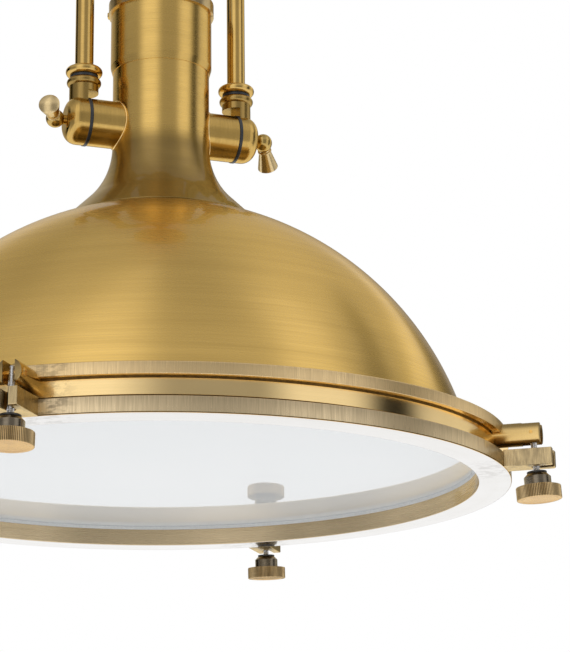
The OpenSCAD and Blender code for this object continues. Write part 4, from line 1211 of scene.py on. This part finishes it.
class LAMP_OT_stage(bpy.types.Operator):
    """Builds the floor, the studio light and the camera"""

    bl_idname = "lamp.stage"
    bl_label = "Stage"

    def execute(self, context):
        view = context.scene.lamp_view
        self.camera(context, view)
        self.floor(context, view)
        self.studio(context, view)
        context.scene.view_settings.view_transform = "Standard"
        return {"FINISHED"}

    def camera(self, context, view):
        """Stands the camera below the rim and turns it by pan, pitch and roll."""
        sight = Matrix.Rotation(view.azimuth, 3, "Z")
        right, away, up = sight @ Vector((1, 0, 0)), sight @ Vector((0, 1, 0)), Vector((0, 0, 1))
        base = low("glass_ring").z
        place = -away * view.distance + up * (base - view.drop)
        pan, pitch, roll = view.pan, view.pitch, view.roll
        aim = right * math.sin(pan) + away * math.cos(pan)
        side = right * math.cos(pan) - away * math.sin(pan)
        forward = aim * math.cos(pitch) + up * math.sin(pitch)
        head = up * math.cos(pitch) - aim * math.sin(pitch)
        across = side * math.cos(roll) + head * math.sin(roll)
        top = head * math.cos(roll) - side * math.sin(roll)
        data = bpy.data.cameras.new("camera")
        data.sensor_width = 36.0
        data.lens = view.lens
        data.clip_start, data.clip_end = 0.05, 60.0
        camera = bpy.data.objects.new("camera", data)
        camera.matrix_world = Matrix.Translation(place) @ Matrix((across, top, -forward)).transposed().to_4x4()
        context.scene.collection.objects.link(camera)
        context.scene.camera = camera

    def floor(self, context, view):
        """A round pale floor that reads as white to the camera, to glossy and to clear surfaces.

        It is one flat face, seen from above only, so that a camera below it still sees the lamp.
        """
        level = low("thumb_nut_1").z - view.floor
        angle = np.arange(96) * TURN / 96
        edge = np.stack([np.cos(angle) * 2.4, np.sin(angle) * 2.4, 0 * angle + level], 1)
        mesh = bpy.data.meshes.new("floor")
        mesh.from_pydata(edge.tolist(), [], [range(96)])
        floor = bpy.data.objects.new("floor", mesh)
        context.scene.collection.objects.link(floor)
        material = bpy.data.materials.new("floor")
        graph = Graph(material)
        rays = graph.add("ShaderNodeLightPath")
        outputs = rays.socket.node.outputs
        seen = Signal(graph, outputs["Is Camera Ray"]) + Signal(graph, outputs["Is Glossy Ray"])
        seen = seen + Signal(graph, outputs["Is Transmission Ray"])
        plain = graph.add("ShaderNodeBsdfDiffuse", None, {"Color": (0.82, 0.82, 0.82)})
        glow = graph.add("ShaderNodeEmission", None, {"Color": (1.0, 1.0, 1.0), "Strength": seen * 0.45})
        both = graph.add("ShaderNodeAddShader", None, {0: plain, 1: glow})
        under = graph.add("ShaderNodeNewGeometry", output="Backfacing")
        clear = graph.add("ShaderNodeBsdfTransparent")
        seen_through = graph.add("ShaderNodeMixShader", None, {0: under, 1: both, 2: clear})
        out = graph.tree.nodes.new("ShaderNodeOutputMaterial")
        graph.tree.links.new(seen_through.socket, out.inputs[0])
        floor.data.materials.append(material)

    def studio(self, context, view):
        """A white backdrop for the camera, an even light for matt surfaces, and soft boxes for glossy ones.

        A box is bright where the direction lies within its half width of its middle, as seen from the lamp
        and counted from the camera, and it fades upwards into an even ceiling.
        """
        world = bpy.data.worlds.new("studio")
        context.scene.world = world
        graph = Graph(world)
        x, y, z = graph.split(graph.add("ShaderNodeTexCoord", output=0))
        azimuth = y.angle_with(x)

        def box(middle, half, soft):
            """1 inside the box, eased to 0 over its soft edge."""
            turn = azimuth - middle * (math.pi / 180) + (math.pi / 2 - view.azimuth)
            turn = abs(turn._math("WRAP", turn, math.pi, -math.pi))
            return 1 - turn.smooth(math.radians(half - soft), math.radians(half + soft))

        fade = 1 - z.smooth(0.4, 0.75) * 0.35 - z.smooth(0.8, 1.0) * 0.35
        left = box(-26, 20, 12) * 0.7 * fade
        right = box(54 + z.smooth(0.375, 0.5) * 11 + z.smooth(0.6, 0.8) * 9, 15, 8) * 0.58 * fade
        right = right * (1 - z.smooth(0.85, 0.97)) + box(100, 42, 20) * 0.13 * z.smooth(0.72, 0.8) * (1 - z.smooth(0.92, 1.0))
        third = box(113 + z.smooth(0.37, 0.55) * 30, 18, 8) * (0.4 + z.smooth(0.37, 0.5) * 0.25) * (1 - z.smooth(0.5, 0.62))
        back = box(195, 14, 8) * 0.16 * (1 - z.smooth(0.6, 0.8))
        low_gaps = (box(-113, 17, 10) * 0.42 + box(148, 8, 5) * 0.24 + box(176, 8, 6) * 0.18) * (1 - z.smooth(0.45, 0.75))
        high_gap = box(-138, 52, 15) * 0.19 * z.smooth(0.58, 0.7) * (1 - z.smooth(0.86, 0.95))
        gap = box(82 + z.smooth(0.375, 0.48) * 13 + z.smooth(0.5, 0.8) * 22, 8, 6) * 0.36 * (1 - z.smooth(0.7, 0.85))
        zenith = (0.5 - (azimuth - view.azimuth).cos().smooth(-0.4, 0.4)) * z.smooth(0.75, 0.95) * 0.08
        even = view.dim + z.smooth(0.35, 0.6) * 0.33 - z.smooth(0.75, 1.0) * 0.15
        room = even + left + right + third + back - low_gaps - high_gap - gap + zenith
        behind = (azimuth - view.azimuth - math.pi / 2).cos().smooth(-0.3, 0.4)
        above = z.smooth(-0.5, -0.3) * (1 - behind * (1 - z.smooth(-0.15, -0.04)))
        room = room * above + (1 - above) * 1.12
        rays = graph.add("ShaderNodeLightPath")
        camera_ray = Signal(graph, rays.socket.node.outputs["Is Camera Ray"])
        matt_ray = Signal(graph, rays.socket.node.outputs["Is Diffuse Ray"])
        strength = camera_ray + matt_ray * 0.85 + (1 - camera_ray - matt_ray) * room
        shade = graph.add("ShaderNodeBackground", None, {"Color": (1.0, 1.0, 1.0), "Strength": strength})
        out = graph.tree.nodes.new("ShaderNodeOutputWorld")
        graph.tree.links.new(shade.socket, out.inputs[0])


STEPS = (
    LAMP_OT_ceiling, LAMP_OT_stem, LAMP_OT_yoke, LAMP_OT_swivels, LAMP_OT_neck, LAMP_OT_dome, LAMP_OT_rim,
    LAMP_OT_glass, LAMP_OT_clamps, LAMP_OT_swing_bolts, LAMP_OT_thumb_nuts, LAMP_OT_levers, LAMP_OT_holder,
    LAMP_OT_stage,
)


class LAMP_PT_panel(bpy.types.Panel):
    """Lists the lamp's sizes, colours and pieces in the sidebar"""

    bl_idname = "LAMP_PT_panel"
    bl_label = "Pendant Lamp"
    bl_space_type = "VIEW_3D"
    bl_region_type = "UI"
    bl_category = "Pendant Lamp"

    def draw(self, context):
        for group in (context.scene.lamp_sizes, context.scene.lamp_finish, context.scene.lamp_view):
            column = self.layout.column(align=True)
            for name in group.__annotations__:
                column.prop(group, name)
        column = self.layout.column(align=True)
        for step in STEPS:
            column.operator(step.bl_idname)


GROUPS = {"lamp_sizes": LampSizes, "lamp_finish": LampFinish, "lamp_view": LampView}


def register():
    for item in (*GROUPS.values(), *STEPS, LAMP_PT_panel):
        bpy.utils.register_class(item)
    for name, group in GROUPS.items():
        setattr(bpy.types.Scene, name, bpy.props.PointerProperty(type=group))


def unregister():
    for name in GROUPS:
        delattr(bpy.types.Scene, name)
    for item in reversed((*GROUPS.values(), *STEPS, LAMP_PT_panel)):
        bpy.utils.unregister_class(item)


def main():
    """Registers the add-on and builds every piece in order."""
    register()
    for step in STEPS:
        group, name = step.bl_idname.split(".")
        getattr(getattr(bpy.ops, group), name)()


if __name__ == "__main__":
    main()
